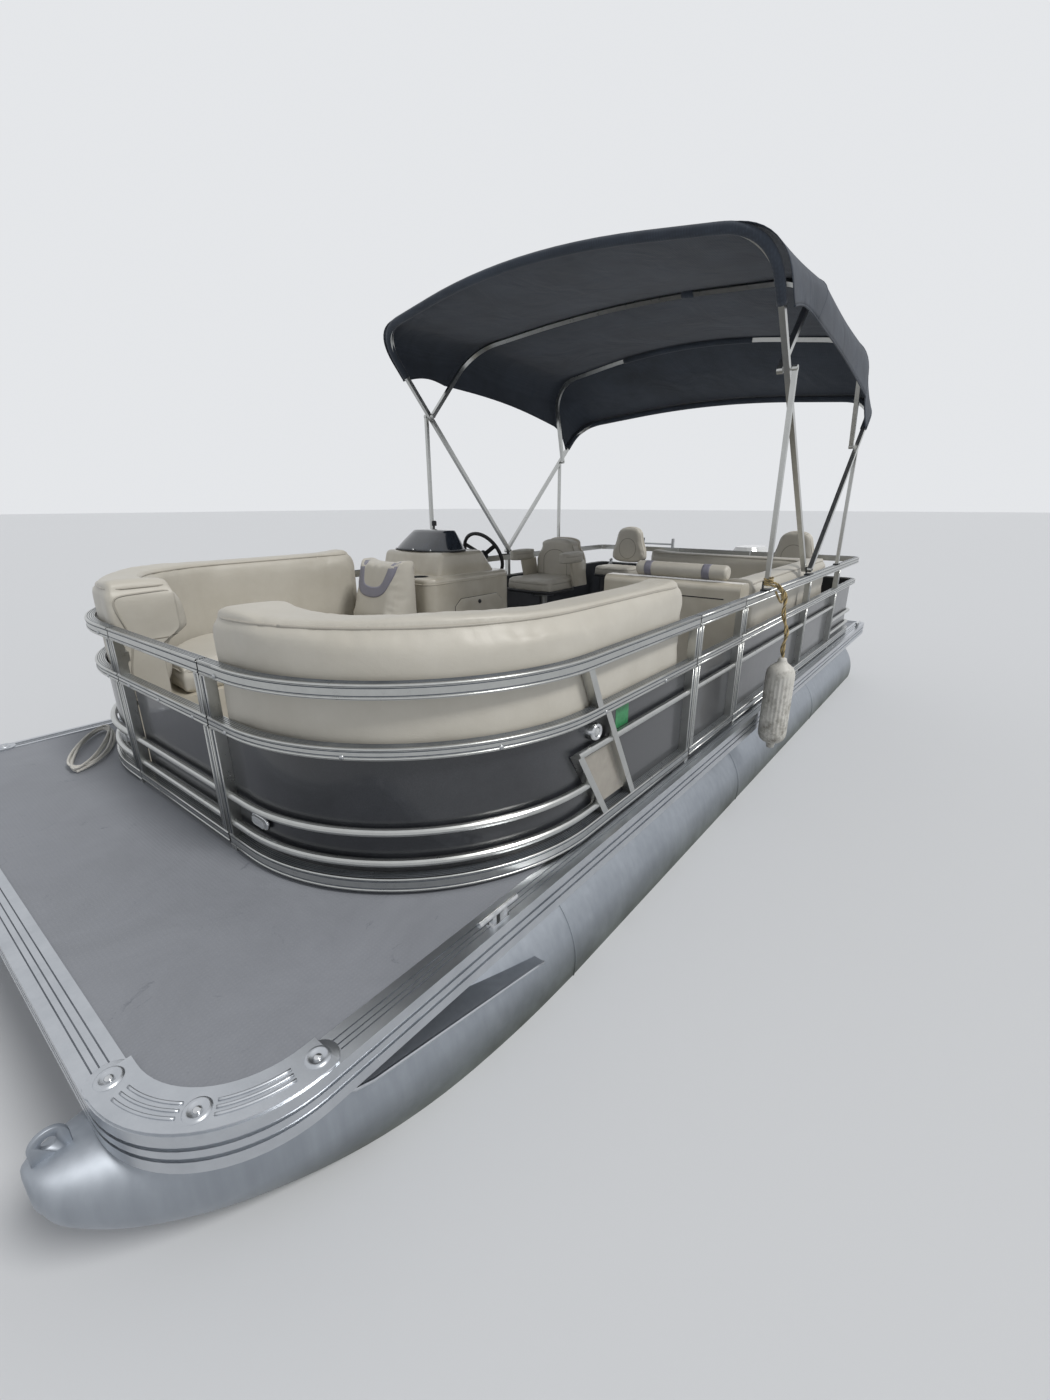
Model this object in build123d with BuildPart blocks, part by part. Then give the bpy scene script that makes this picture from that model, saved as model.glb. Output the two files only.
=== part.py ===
"""Pontoon boat afloat: two tubes, a fenced deck, lounges, a folding canopy and an outboard.

Millimetres. The origin lies on the centreline at the waterline, amidships of the deck.
+X points to the bow, +Y to port and +Z up.
"""

import os
from math import copysign, cos, degrees, radians, sin, tan

from build123d import *

os.makedirs("parts", exist_ok=True)

# Hull and deck
DECK_LENGTH = 6000.0
BEAM = 2590.0
DECK_TOP = 500.0
DECK_THICK = 22.0
BOW_CORNER_R = 310.0
STERN_CORNER_R = 60.0
BOW_X = DECK_LENGTH / 2
STERN_X = -BOW_X

# Edge trim round the deck
TRIM_WEB = 25.0
TRIM_FLANGE = 80.0
TRIM_LIP = 4.0
TRIM_DROP = 90.0
CASTING_WIDTH = 88.0
CASTING_RISE = 5.0

# Pontoon tubes and their noses
TUBE_R = 305.0
TUBE_INSET = 340.0
TUBE_DROP = 435.0
TUBE_AFT = 80.0
NOSE_LENGTH = 1250.0
TUBE_Y = BEAM / 2 - TUBE_INSET
TUBE_Z = DECK_TOP - TUBE_DROP
KEEL_WIDTH = 24.0
KEEL_DROP = 22.0

# Cross members under the deck
MEMBER_HEIGHT = 46.0
MEMBER_WIDTH = 44.0
MEMBER_WALL = 4.0
MEMBER_PITCH = 410.0
MEMBER_END_GAP = 110.0
MEMBER_BOTTOM = DECK_TOP - DECK_THICK - MEMBER_HEIGHT

# Fence round the deck: plan line of its outer face
FENCE_SETBACK = 575.0
FENCE_AFT_DECK = 530.0
FENCE_SIDE_GAP = 50.0
FENCE_STERN_R = 90.0
FENCE_TUBE = 32.0
FENCE_FRONT = BOW_X - FENCE_SETBACK
FENCE_BACK = STERN_X + FENCE_AFT_DECK
FENCE_Y = BEAM / 2 - FENCE_SIDE_GAP

# Heights above the deck
TOP_RAIL = (585.0, 628.0)
SECOND_RAIL = (352.0, 422.0)
BOTTOM_RAIL = (12.0, 78.0)
LOW_RUB_RAILS = (99.0, 196.0)
HIGH_RUB_RAIL = 316.0
RUB_RAIL_D = 25.0
PANEL_GAP = 0.3
PANEL_THICK = 3.0
PANEL_LAP = 16.0
PANEL_RAIL_LAP = 6.0
RAIL_TOP = DECK_TOP + TOP_RAIL[1]

# Gates
BOW_GATE_HALF = 368.0
FRONT_STRAIGHT = 127.0  # straight run of fence between the bow gate and the round corner
FENCE_BOW_R = FENCE_Y - BOW_GATE_HALF - FRONT_STRAIGHT
STERN_GATE_HALF = 352.0
SIDE_GATE_FRONT = BOW_X - 2120.0
SIDE_GATE_BACK = BOW_X - 2660.0
HINGE_GAP = 8.0
LATCH_GAP = 8.0
GATE_FOOT_GAP = 8.0
GATE_PANEL_START = 40.0
GATE_PANEL_END = 12.0
HINGE_OUT = 8.0
HINGE_LEAF = 12.0
HINGE_PIN_R = 4.0
HINGE_PLAY = 0.3
HINGE_HEIGHTS = (150.0, 500.0)
KNUCKLE_R = 7.5
KNUCKLE_HEIGHT = 36.0

# Seats
SEAT_GAP = 45.0
BACK_THICK = 160.0
BACK_TOP_R = 34.0
BACK_AFT_R = 100.0
SEAT_BASE = 300.0
SEAT_CUSHION = 120.0
BOW_BACK_TOP = 800.0
AFT_BACK_TOP = 695.0
LOUNGE_INNER_Y = 500.0
LOUNGE_FRONT_SEAT = 620.0
LID_SETBACK = 45.0
GATE_CLEAR = 10.0
GATE_SIDE_CLEAR = 40.0
CUSHION_GAP = 8.0
BASE_WALL = 12.0
BIN_RIM = 40.0


# Places across the boat, from the fence's outer face inboard
CONSOLE_IN = 75.0
CHAIR_IN = 465.0
WHEEL_IN = 415.0
THROTTLE_IN = 235.0
CHAISE_IN = 345.0


def deck_outline(inset):
    """Plan of the deck drawn in by inset, with round corners."""
    with BuildSketch() as plan:
        Rectangle(DECK_LENGTH - 2 * inset, BEAM - 2 * inset)
        fillet(plan.vertices().group_by(Axis.X)[-1], BOW_CORNER_R - inset)
        fillet(plan.vertices().group_by(Axis.X)[0], max(STERN_CORNER_R - inset, 4.0))
    return plan.sketch


def fence_outline(inset):
    """Plan of the fence line drawn in by inset."""
    with BuildSketch() as plan:
        with Locations(((FENCE_FRONT + FENCE_BACK) / 2, 0)):
            Rectangle(FENCE_FRONT - FENCE_BACK - 2 * inset, 2 * (FENCE_Y - inset))
        fillet(plan.vertices().group_by(Axis.X)[-1], FENCE_BOW_R - inset)
        fillet(plan.vertices().group_by(Axis.X)[0], max(FENCE_STERN_R - inset, 4.0))
    return plan.sketch


def window(plan, x_low, x_high, y_low, y_high):
    """The part of a plan that lies inside a window."""
    with BuildSketch() as cut:
        add(plan)
        with Locations(((x_low + x_high) / 2, (y_low + y_high) / 2)):
            Rectangle(x_high - x_low, y_high - y_low, mode=Mode.INTERSECT)
    return cut.sketch


def strip(outline, outer, inner):
    """The strip between two insets of an outline."""
    with BuildSketch() as plan:
        add(outline(outer))
        add(outline(inner), mode=Mode.SUBTRACT)
    return plan.sketch


def slab(plan, low, high):
    """A plan made solid between two heights."""
    with BuildPart() as piece:
        with BuildSketch(Plane.XY.offset(low)):
            add(plan)
        extrude(amount=high - low)
    return piece.part


def block(x_low, x_high, y_low, y_high, z_low, z_high):
    """A plain block between two corners."""
    with BuildPart() as piece:
        with Locations(((x_low + x_high) / 2, (y_low + y_high) / 2, (z_low + z_high) / 2)):
            Box(x_high - x_low, y_high - y_low, z_high - z_low)
    return piece.part


def rod(start, end, radius):
    """A round bar between two points."""
    axis = Vector(*end) - Vector(*start)
    with BuildPart() as piece:
        with BuildSketch(Plane(origin=start, z_dir=axis.normalized())):
            Circle(radius)
        extrude(amount=axis.length)
    return piece.part


def side_plate(points, y_low, y_high):
    """An outline in X and Z made solid between two Y values."""
    with BuildPart() as piece:
        with BuildSketch(Plane.XZ.offset(-y_high)):
            Polygon(*points, align=None)
        extrude(amount=y_high - y_low)
    return piece.part


def eased(points, radii, steps):
    """A closed outline with each corner eased by steps short chords of its radius."""
    line = []
    for index, radius in enumerate(radii):
        here = Vector(*points[index])
        back = (Vector(*points[index - 1]) - here).normalized()
        ahead = (Vector(*points[(index + 1) % len(points)]) - here).normalized()
        if radius == 0:
            line.append((here.X, here.Y))
            continue
        half = radians(back.get_angle(ahead)) / 2
        centre = here + (back + ahead).normalized() * (radius / sin(half))
        start = here + back * (radius / tan(half)) - centre
        turn = 180 - 2 * degrees(half)
        sign = 1 if back.cross(ahead).Z < 0 else -1
        for step in range(steps + 1):
            spoke = start.rotate(Axis.Z, sign * turn * step / steps)
            line.append((centre.X + spoke.X, centre.Y + spoke.Y))
    return line


def eased_box(centre_x, length, width, corner):
    """Plan of a box with eased corners, its centre on the centreline."""
    x, y = length / 2, width / 2
    points = [(centre_x - x, -y), (centre_x + x, -y), (centre_x + x, y), (centre_x - x, y)]
    return eased(points, [corner] * 4, 3)


def tower(sections):
    """Flat-faced body through outlines given as (height, list of points)."""
    with BuildPart() as piece:
        for height, points in sections:
            with BuildSketch(Plane.XY.offset(height)):
                Polygon(*points, align=None)
        loft(ruled=True)
    return piece.part


def save(piece, name):
    """Name a piece and write its STEP file."""
    piece.part.label = name
    export_step(piece.part, f"parts/{name}.step")


# Deck board
with BuildPart() as deck:
    add(slab(deck_outline(TRIM_WEB), DECK_TOP - DECK_THICK, DECK_TOP))
save(deck, "deck")

# Edge trim: a web with two grooves, a flange on the deck and a cast cap at each bow corner
GROOVES = ((-62.0, 10.0), (-34.0, 10.0))  # height from the deck top, groove width
GROOVE_DEPTH = 7.0
CASTING_INSET = 3.0
CASTING_REACH = 30.0  # how far a cast corner runs past the round

with BuildPart() as deck_trim:
    add(slab(strip(deck_outline, 0, TRIM_WEB), DECK_TOP - TRIM_DROP, DECK_TOP + TRIM_LIP))
    add(slab(strip(deck_outline, 0, TRIM_FLANGE), DECK_TOP, DECK_TOP + TRIM_LIP))
    for height, width in GROOVES:
        low = DECK_TOP + height
        add(slab(strip(deck_outline, -5, GROOVE_DEPTH), low, low + width), mode=Mode.SUBTRACT)
    cast_top = DECK_TOP + TRIM_LIP + CASTING_RISE
    for side in (-1, 1):
        corner = sorted((side * (BEAM / 2 - BOW_CORNER_R - CASTING_REACH), side * BEAM / 2))
        plan = strip(deck_outline, CASTING_INSET, CASTING_WIDTH)
        cap = window(plan, BOW_X - BOW_CORNER_R - CASTING_REACH, BOW_X, *corner)
        add(slab(cap, DECK_TOP, cast_top))
save(deck_trim, "deck_trim")

# Pontoons: round tube, nose that sweeps up to a blade, keel, spray strake and deck rails
NOSE_RINGS = (  # ahead of the nose joint as a share of the nose, rise of the centre, share of the radius
    (0.0, 0.0, 1.0),
    (0.20, 10.0, 0.975),
    (0.42, 40.0, 0.905),
    (0.62, 88.0, 0.775),
    (0.79, 150.0, 0.605),
    (0.91, 215.0, 0.425),
    (0.98, 268.0, 0.255),
    (1.0, 296.0, 0.150),
)
NOSE_REACH = 110.0
NOSE_SIDES = 48
RAIL_END_SETBACK = 140.0
RAIL_START = 40.0
KEEL_START = 60.0
KEEL_SEAT = 12.0
STRAKE = ((-1065.0, -298.0), (-400.0, -151.0), (-324.0, -84.0))  # from the deck's bow edge
STRAKE_OUT = 305.0
STRAKE_THICK = 7.0
SADDLE_Y = 70.0
SADDLE_WALL = 8.0
SADDLE_FOOT = 34.0
TOW_EYE_X = 62.0
TOW_EYE_DROP = 60.0  # from the deck top to the eye
TOW_EYE_R = 12.0
TOW_PLATE = 10.0
TOW_PLATE_SIZE = (64.0, 96.0)


def pontoon(side):
    """One pontoon, port for side 1 and starboard for side -1."""
    joint_x = BOW_X - NOSE_LENGTH
    tip_x = BOW_X + NOSE_REACH
    aft_x = STERN_X + TUBE_AFT
    y = side * TUBE_Y
    top = TUBE_Z + TUBE_R
    with BuildPart() as hull:
        with BuildSketch(Plane.YZ.offset(aft_x)):
            with Locations((y, TUBE_Z)):
                Circle(TUBE_R)
        extrude(amount=joint_x - aft_x)
        chamfer(hull.edges().group_by(Axis.X)[0], 24)
        for share, rise, size in NOSE_RINGS:
            with BuildSketch(Plane.YZ.offset(joint_x + share * (tip_x - joint_x))):
                with Locations((y, TUBE_Z + rise)):
                    RegularPolygon(TUBE_R * size, NOSE_SIDES)
        loft(ruled=True)
        keel_low = TUBE_Z - TUBE_R - KEEL_DROP
        add(block(aft_x + KEEL_START, joint_x, y - KEEL_WIDTH / 2, y + KEEL_WIDTH / 2,
                  keel_low, keel_low + KEEL_DROP + KEEL_SEAT))
        strake = [(BOW_X + x, DECK_TOP + z) for x, z in STRAKE]
        lower = [(x, z - STRAKE_THICK) for x, z in reversed(strake)]
        out = sorted((side * TUBE_Y, side * (TUBE_Y + STRAKE_OUT)))
        add(side_plate(strake + lower, *out))
        for rail in (-1, 1):
            flange = y + rail * SADDLE_Y
            foot = sorted((flange, flange + rail * SADDLE_FOOT))
            web = sorted((flange, flange + rail * SADDLE_WALL))
            start_x, end_x = aft_x + RAIL_START, BOW_X - RAIL_END_SETBACK
            add(block(start_x, end_x, *web, top - 30, MEMBER_BOTTOM))
            add(block(start_x, end_x, *foot, MEMBER_BOTTOM - 6, MEMBER_BOTTOM))
        eye_z = DECK_TOP - TOW_EYE_DROP
        plate_length, plate_height = TOW_PLATE_SIZE
        with BuildSketch(Plane.XZ.offset(-(y + TOW_PLATE / 2))):
            with Locations((BOW_X + TOW_EYE_X, eye_z + 2 * TOW_EYE_R + 4 - plate_height / 2)):
                Rectangle(plate_length, plate_height)
        extrude(amount=TOW_PLATE)
        with Locations(Location((BOW_X + TOW_EYE_X, y, eye_z), (90, 0, 0))):
            Cylinder(TOW_EYE_R, 4 * TOW_PLATE, mode=Mode.SUBTRACT)
    return hull.part


with BuildPart() as port_pontoon:
    add(pontoon(1))
save(port_pontoon, "port_pontoon")

with BuildPart() as starboard_pontoon:
    add(pontoon(-1))
save(starboard_pontoon, "starboard_pontoon")

# Cross members: open channels from side to side
member_half = BEAM / 2 - MEMBER_END_GAP
member_count = int((DECK_LENGTH - 300) // MEMBER_PITCH) + 1
with BuildPart() as cross_members:
    with BuildSketch(Plane.XZ.offset(-member_half)):
        first = -(member_count - 1) * MEMBER_PITCH / 2
        for row in range(member_count):
            x = first + row * MEMBER_PITCH
            with Locations((x, MEMBER_BOTTOM + MEMBER_HEIGHT / 2)):
                Rectangle(MEMBER_WIDTH, MEMBER_HEIGHT)
            with Locations((x + MEMBER_WALL, MEMBER_BOTTOM + MEMBER_HEIGHT / 2)):
                Rectangle(MEMBER_WIDTH, MEMBER_HEIGHT - 2 * MEMBER_WALL, mode=Mode.SUBTRACT)
    extrude(amount=2 * member_half)
save(cross_members, "cross_members")

# Motor pod under the stern, with a transom plate that the outboard hangs on
POD_HALF = 320.0
POD_FRONT = STERN_X + 640.0
TRANSOM_TOP = 380.0
TRANSOM_X = STERN_X - 150.0
TRANSOM_FOOT = (STERN_X - 82.0, -90.0)
WELL_FLOOR = 250.0
with BuildPart() as motor_pod:
    add(side_plate((
        (POD_FRONT, MEMBER_BOTTOM),
        (POD_FRONT, 190.0),
        (POD_FRONT - 210, -50.0),
        TRANSOM_FOOT,
        (TRANSOM_X, TRANSOM_TOP),
        (TRANSOM_X + 44, TRANSOM_TOP),
        (TRANSOM_X + 60, WELL_FLOOR),
        (STERN_X + 36, WELL_FLOOR),
        (STERN_X + 36, MEMBER_BOTTOM),
    ), -POD_HALF, POD_HALF))
save(motor_pod, "motor_pod")

# Fence frames
BOW_END_X = SIDE_GATE_FRONT
DIVIDER_TOP = ((-1310.0, 590.0), (-1392.0, 418.0))  # from the deck's bow edge and deck top
DIVIDER_LONG = ((-1424.0, 418.0), (-1634.0, 40.0))
DIVIDER_SHORT = ((-1268.0, 316.0), (-1446.0, 40.0))
DIVIDER_WIDTH = 30.0


def slanted_bar(ends, side):
    """A slanted divider in the side of the fence."""
    (x0, z0), (x1, z1) = ends
    half = DIVIDER_WIDTH / 2
    points = [(BOW_X + x0 - half, DECK_TOP + z0), (BOW_X + x0 + half, DECK_TOP + z0),
              (BOW_X + x1 + half, DECK_TOP + z1), (BOW_X + x1 - half, DECK_TOP + z1)]
    return side_plate(points, *sorted((side * FENCE_Y, side * (FENCE_Y - FENCE_TUBE))))


def fence_post(x, y):
    """An upright of the fence from the deck to the top rail, centred at x and y."""
    on_flange = max(abs(y) - BEAM / 2, abs(x) - BOW_X) + FENCE_TUBE / 2 > -TRIM_FLANGE
    foot = DECK_TOP + (TRIM_LIP if on_flange else 0)
    half = FENCE_TUBE / 2
    return block(x - half, x + half, y - half, y + half, foot, RAIL_TOP)


def rail_bar(start, end):
    """A straight run of rub rail, its section a twelve-sided near-circle."""
    axis = Vector(*end) - Vector(*start)
    with BuildPart() as piece:
        with BuildSketch(Plane(origin=start, x_dir=(0, 0, 1), z_dir=axis.normalized())):
            RegularPolygon(RUB_RAIL_D / 2, 12)
        extrude(amount=axis.length)
    return piece.part


def rub_rail(points, corner_r, height):
    """A rub rail along X, or along Y, round a corner and on along X."""
    z = DECK_TOP + height
    (x0, y0), (x1, y1) = points[0], points[-1]
    if len(points) == 2:
        return rail_bar((x0, y0, z), (x1, y1, z))
    corner_x, corner_y = points[1]
    if x1 > corner_x:
        flipped = [(-x, y) for x, y in points]
        return rub_rail(flipped, corner_r, height).mirror(Plane.YZ)
    centre = (corner_x - corner_r, corner_y - corner_r, z)
    with BuildPart() as piece:
        add(rail_bar((x0, y0, z), (corner_x, centre[1], z)))
        with BuildSketch(Plane(origin=(corner_x, centre[1], z), x_dir=(0, 0, 1), z_dir=(0, 1, 0))):
            RegularPolygon(RUB_RAIL_D / 2, 12)
        revolve(axis=Axis(centre, (0, 0, 1)), revolution_arc=90)
        add(rail_bar((centre[0], corner_y, z), (x1, y1, z)))
    return piece.part


def fence_rails(x_low, x_high, y_low, y_high):
    """The three square rails of a stretch of fence."""
    band = window(strip(fence_outline, 0, FENCE_TUBE), x_low, x_high, y_low, y_high)
    with BuildPart() as piece:
        for low, high in (TOP_RAIL, SECOND_RAIL, BOTTOM_RAIL):
            add(slab(band, DECK_TOP + low, DECK_TOP + high))
    return piece.part


def past_pin(centre, leaf):
    """The span from the far side of a hinge pin to the end of its leaf."""
    return sorted((centre + copysign(HINGE_PIN_R, centre - leaf), leaf))


def gate_hinge_pins(x, y, leaf_x, leaf_y):
    """Two hinge pins at a gate's axis, each with a leaf that reaches its post."""
    with BuildPart() as piece:
        for height in HINGE_HEIGHTS:
            low = DECK_TOP + height
            add(rod((x, y, low - 10), (x, y, low + KNUCKLE_HEIGHT + 12), HINGE_PIN_R))
            add(block(*past_pin(x, leaf_x), *past_pin(y, leaf_y), low - 12, low - 4))
    return piece.part


HALF = FENCE_TUBE / 2
FRONT_MID = FENCE_FRONT - HALF
SIDE_MID = FENCE_Y - HALF
BACK_MID = FENCE_BACK + HALF
RUB_MID = RUB_RAIL_D / 2 + 1.5
BOW_AXIS = (FENCE_FRONT - FENCE_TUBE - HINGE_OUT, -BOW_GATE_HALF + HINGE_GAP / 2)
SIDE_AXIS = (SIDE_GATE_FRONT - HINGE_GAP / 2, FENCE_Y - FENCE_TUBE - HINGE_OUT)
STERN_AXIS = (FENCE_BACK + FENCE_TUBE + HINGE_OUT, -STERN_GATE_HALF + HINGE_GAP / 2)


def bow_fence():
    """Port bow fence, from the bow gate round the corner to the side gate."""
    short_x = BOW_X + DIVIDER_SHORT[0][0]
    with BuildPart() as piece:
        add(fence_rails(BOW_END_X, FENCE_FRONT + 1, BOW_GATE_HALF, FENCE_Y + 1))
        add(fence_post(FRONT_MID, BOW_GATE_HALF + HALF))
        add(fence_post(BOW_END_X + HALF, SIDE_MID))
        for divider in (DIVIDER_TOP, DIVIDER_LONG, DIVIDER_SHORT):
            add(slanted_bar(divider, 1))
        for height in LOW_RUB_RAILS:
            drop = (DIVIDER_SHORT[0][1] - height) / (DIVIDER_SHORT[0][1] - DIVIDER_SHORT[1][1])
            end_x = short_x + drop * (DIVIDER_SHORT[1][0] - DIVIDER_SHORT[0][0])
            corner = (FENCE_FRONT - RUB_MID, FENCE_Y - RUB_MID)
            add(rub_rail(((corner[0], BOW_GATE_HALF + HALF), corner, (end_x, corner[1])),
                         FENCE_BOW_R - RUB_MID, height))
        rub_y = FENCE_Y - RUB_MID
        add(rub_rail(((short_x, rub_y), (BOW_END_X + HALF, rub_y)), 0, HIGH_RUB_RAIL))
    return piece.part


with BuildPart() as port_bow_fence:
    add(bow_fence())
    add(gate_hinge_pins(*SIDE_AXIS, SIDE_AXIS[0] + HINGE_LEAF, FENCE_Y - FENCE_TUBE))
save(port_bow_fence, "port_bow_fence")

with BuildPart() as starboard_bow_fence:
    mirror(bow_fence(), about=Plane.XZ)
    add(gate_hinge_pins(*BOW_AXIS, FENCE_FRONT - FENCE_TUBE, BOW_AXIS[1] - HINGE_LEAF))
save(starboard_bow_fence, "starboard_bow_fence")

AFT_POSTS = (-866.0, -1700.0)
AFT_RUB_END = -1700.0


def aft_fence(front_x):
    """Port aft fence, from front_x round the stern corner to the stern gate."""
    with BuildPart() as piece:
        add(fence_rails(FENCE_BACK - 1, front_x, STERN_GATE_HALF, FENCE_Y + 1))
        add(fence_post(BACK_MID, STERN_GATE_HALF + HALF))
        for x in (front_x - HALF,) + AFT_POSTS:
            add(fence_post(x, SIDE_MID))
        rub_y = FENCE_Y - RUB_MID
        add(rub_rail(((front_x - HALF, rub_y), (AFT_RUB_END, rub_y)), 0, HIGH_RUB_RAIL))
        for height in LOW_RUB_RAILS:
            corner = (FENCE_BACK + RUB_MID, rub_y)
            add(rub_rail(((corner[0], STERN_GATE_HALF + HALF), corner, (AFT_RUB_END, rub_y)),
                         FENCE_STERN_R - RUB_MID, height))
    return piece.part


with BuildPart() as port_aft_fence:
    add(aft_fence(SIDE_GATE_BACK))
save(port_aft_fence, "port_aft_fence")

with BuildPart() as starboard_aft_fence:
    mirror(aft_fence(BOW_END_X - 0.5), about=Plane.XZ)
    add(gate_hinge_pins(*STERN_AXIS, FENCE_BACK + FENCE_TUBE, STERN_AXIS[1] - HINGE_LEAF))
save(starboard_aft_fence, "starboard_aft_fence")

# Panels behind the frames
PANEL_LOW = DECK_TOP + BOTTOM_RAIL[0] + PANEL_RAIL_LAP
PANEL_HIGH = DECK_TOP + SECOND_RAIL[1] - PANEL_RAIL_LAP
panel_strip = strip(fence_outline, FENCE_TUBE + PANEL_GAP, FENCE_TUBE + PANEL_GAP + PANEL_THICK)


def panel(x_low, x_high, y_low, y_high):
    """A sheet behind a stretch of fence."""
    return slab(window(panel_strip, x_low, x_high, y_low, y_high), PANEL_LOW, PANEL_HIGH)


with BuildPart() as fence_panels:
    bow_edge, stern_edge = BOW_GATE_HALF + PANEL_LAP, STERN_GATE_HALF + PANEL_LAP
    add(panel(BOW_END_X + PANEL_LAP, FENCE_FRONT, bow_edge, FENCE_Y))
    add(panel(BOW_END_X + PANEL_LAP, FENCE_FRONT, -FENCE_Y, -bow_edge))
    add(panel(FENCE_BACK, SIDE_GATE_BACK - HINGE_PIN_R, stern_edge, FENCE_Y))
    add(panel(FENCE_BACK, BOW_END_X - HINGE_PIN_R, -FENCE_Y, -stern_edge))
save(fence_panels, "fence_panels")

# Pale panels between the slanted dividers
ACCENT_INSET = 24.0
ACCENT = ((-1262.0, 290.0), (-1500.0, 290.0), (-1604.0, 84.0), (-1390.0, 84.0))
with BuildPart() as accent_panels:
    for side in (-1, 1):
        points = [(BOW_X + x, DECK_TOP + z) for x, z in ACCENT]
        sheet = side_plate(points, *sorted((side * (FENCE_Y - ACCENT_INSET),
                                            side * (FENCE_Y - ACCENT_INSET - PANEL_THICK))))
        with BuildPart(mode=Mode.PRIVATE) as trimmed:
            add(sheet)
            for divider in (DIVIDER_LONG, DIVIDER_SHORT):
                add(slanted_bar(divider, side), mode=Mode.SUBTRACT)
        add(trimmed.part.solids().sort_by(SortBy.VOLUME)[-1])
save(accent_panels, "accent_panels")


def gate_frame(width):
    """A gate's frame along +X from its hinge stile, its outer face on Y = 0."""
    with BuildPart() as piece:
        low = DECK_TOP + BOTTOM_RAIL[0] + GATE_FOOT_GAP
        for x_low in (0, width - FENCE_TUBE):
            add(block(x_low, x_low + FENCE_TUBE, -FENCE_TUBE, 0, low, RAIL_TOP))
        for rail_low, rail_high in (TOP_RAIL, SECOND_RAIL, BOTTOM_RAIL):
            add(block(0, width, -FENCE_TUBE, 0, max(DECK_TOP + rail_low, low), DECK_TOP + rail_high))
    return piece.part


def gate_knuckles(x, y, x_high):
    """The gate's knuckles round its hinge axis, each with a leaf along the inner face."""
    with BuildPart() as piece:
        for height in HINGE_HEIGHTS:
            low = DECK_TOP + height
            add(rod((x, y, low), (x, y, low + KNUCKLE_HEIGHT), KNUCKLE_R))
            add(block(x, x_high, y - 2, y + HINGE_OUT, low, low + KNUCKLE_HEIGHT))
        for height in HINGE_HEIGHTS:
            low = DECK_TOP + height
            add(rod((x, y, low - 1), (x, y, low + KNUCKLE_HEIGHT + 1), HINGE_PIN_R + HINGE_PLAY),
                mode=Mode.SUBTRACT)
    return piece.part


def gate_rub_rails(width, heights):
    """Round rails across a gate."""
    with BuildPart() as piece:
        for height in heights:
            z = DECK_TOP + height
            add(rail_bar((HALF, -RUB_MID, z), (width - HALF, -RUB_MID, z)))
    return piece.part


def gate_panel(width):
    """The sheet behind a gate's lower part."""
    y_high = -FENCE_TUBE - PANEL_GAP
    low = DECK_TOP + BOTTOM_RAIL[0] + GATE_FOOT_GAP + PANEL_RAIL_LAP
    return block(GATE_PANEL_START, width - GATE_PANEL_END, y_high - PANEL_THICK, y_high, low, PANEL_HIGH)


GATES = (  # name, opening, angle of the gate's run from +X, hinge end, rub rail heights
    ("bow_gate", 2 * BOW_GATE_HALF, 90.0, (FENCE_FRONT, -BOW_GATE_HALF), LOW_RUB_RAILS),
    ("side_gate", SIDE_GATE_FRONT - SIDE_GATE_BACK, 180.0, (SIDE_GATE_FRONT, FENCE_Y), (HIGH_RUB_RAIL,)),
    ("stern_gate", 2 * STERN_GATE_HALF, 90.0, (FENCE_BACK, -STERN_GATE_HALF), LOW_RUB_RAILS),
)
for name, opening, turn, (hinge_x, hinge_y), heights in GATES:
    width = opening - HINGE_GAP - LATCH_GAP
    with BuildPart() as frame:
        add(gate_frame(width))
        add(gate_rub_rails(width, heights))
        add(gate_knuckles(-HINGE_GAP / 2, -FENCE_TUBE - HINGE_OUT, FENCE_TUBE))
    with BuildPart() as sheet:
        add(gate_panel(width))
    along = Vector(cos(radians(turn)), sin(radians(turn)))
    start = Vector(hinge_x, hinge_y) + along * HINGE_GAP
    for piece, suffix in ((frame, "frame"), (sheet, "panel")):
        shape = piece.part if name == "stern_gate" else piece.part.mirror(Plane.XZ)
        with BuildPart() as gate:
            add(shape.moved(Location((start.X, start.Y, 0), (0, 0, turn))))
        save(gate, f"{name}_{suffix}")

# Bow lounges: base, hinged side cushion, fixed corner cushion and backrest
BACK_INNER = SEAT_GAP + BACK_THICK
PORT_LOUNGE_AFT = SIDE_GATE_FRONT + GATE_SIDE_CLEAR
STARBOARD_LOUNGE_AFT = BOW_X - 2200.0
CHAISE_FRONT = BOW_X - 1965.0
LID_FRONT = FENCE_FRONT - LOUNGE_FRONT_SEAT - LID_SETBACK
SEAT_TOP_Z = DECK_TOP + SEAT_BASE + SEAT_CUSHION
BASE_TOP_Z = DECK_TOP + SEAT_BASE
GATE_Y = BOW_GATE_HALF + GATE_CLEAR
LID_OUTER_Y = FENCE_Y - BACK_INNER - CUSHION_GAP


def lounge_plan(inset, aft_x, inner_x, inner_y):
    """Plan of a port bow lounge: the fence line drawn in, less the footwell."""
    with BuildSketch() as plan:
        add(window(fence_outline(inset), aft_x, FENCE_FRONT, GATE_Y, FENCE_Y))
        with Locations(((aft_x + inner_x) / 2, (inner_y + GATE_Y) / 2 - 1)):
            Rectangle(inner_x - aft_x, inner_y - GATE_Y + 2, mode=Mode.SUBTRACT)
    return plan.sketch


def lounge_base(aft_x, lid_aft):
    """Base of a port bow lounge, with a storage bin under the side cushion."""
    inner_x = FENCE_FRONT - LOUNGE_FRONT_SEAT
    with BuildPart() as piece:
        add(slab(lounge_plan(SEAT_GAP, aft_x, inner_x, LOUNGE_INNER_Y), DECK_TOP, BASE_TOP_Z))
        add(block(lid_aft + BIN_RIM, LID_FRONT - BIN_RIM, LOUNGE_INNER_Y + BIN_RIM,
                  LID_OUTER_Y - BIN_RIM, DECK_TOP + BASE_WALL, BASE_TOP_Z + 1), mode=Mode.SUBTRACT)
    return piece.part


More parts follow.
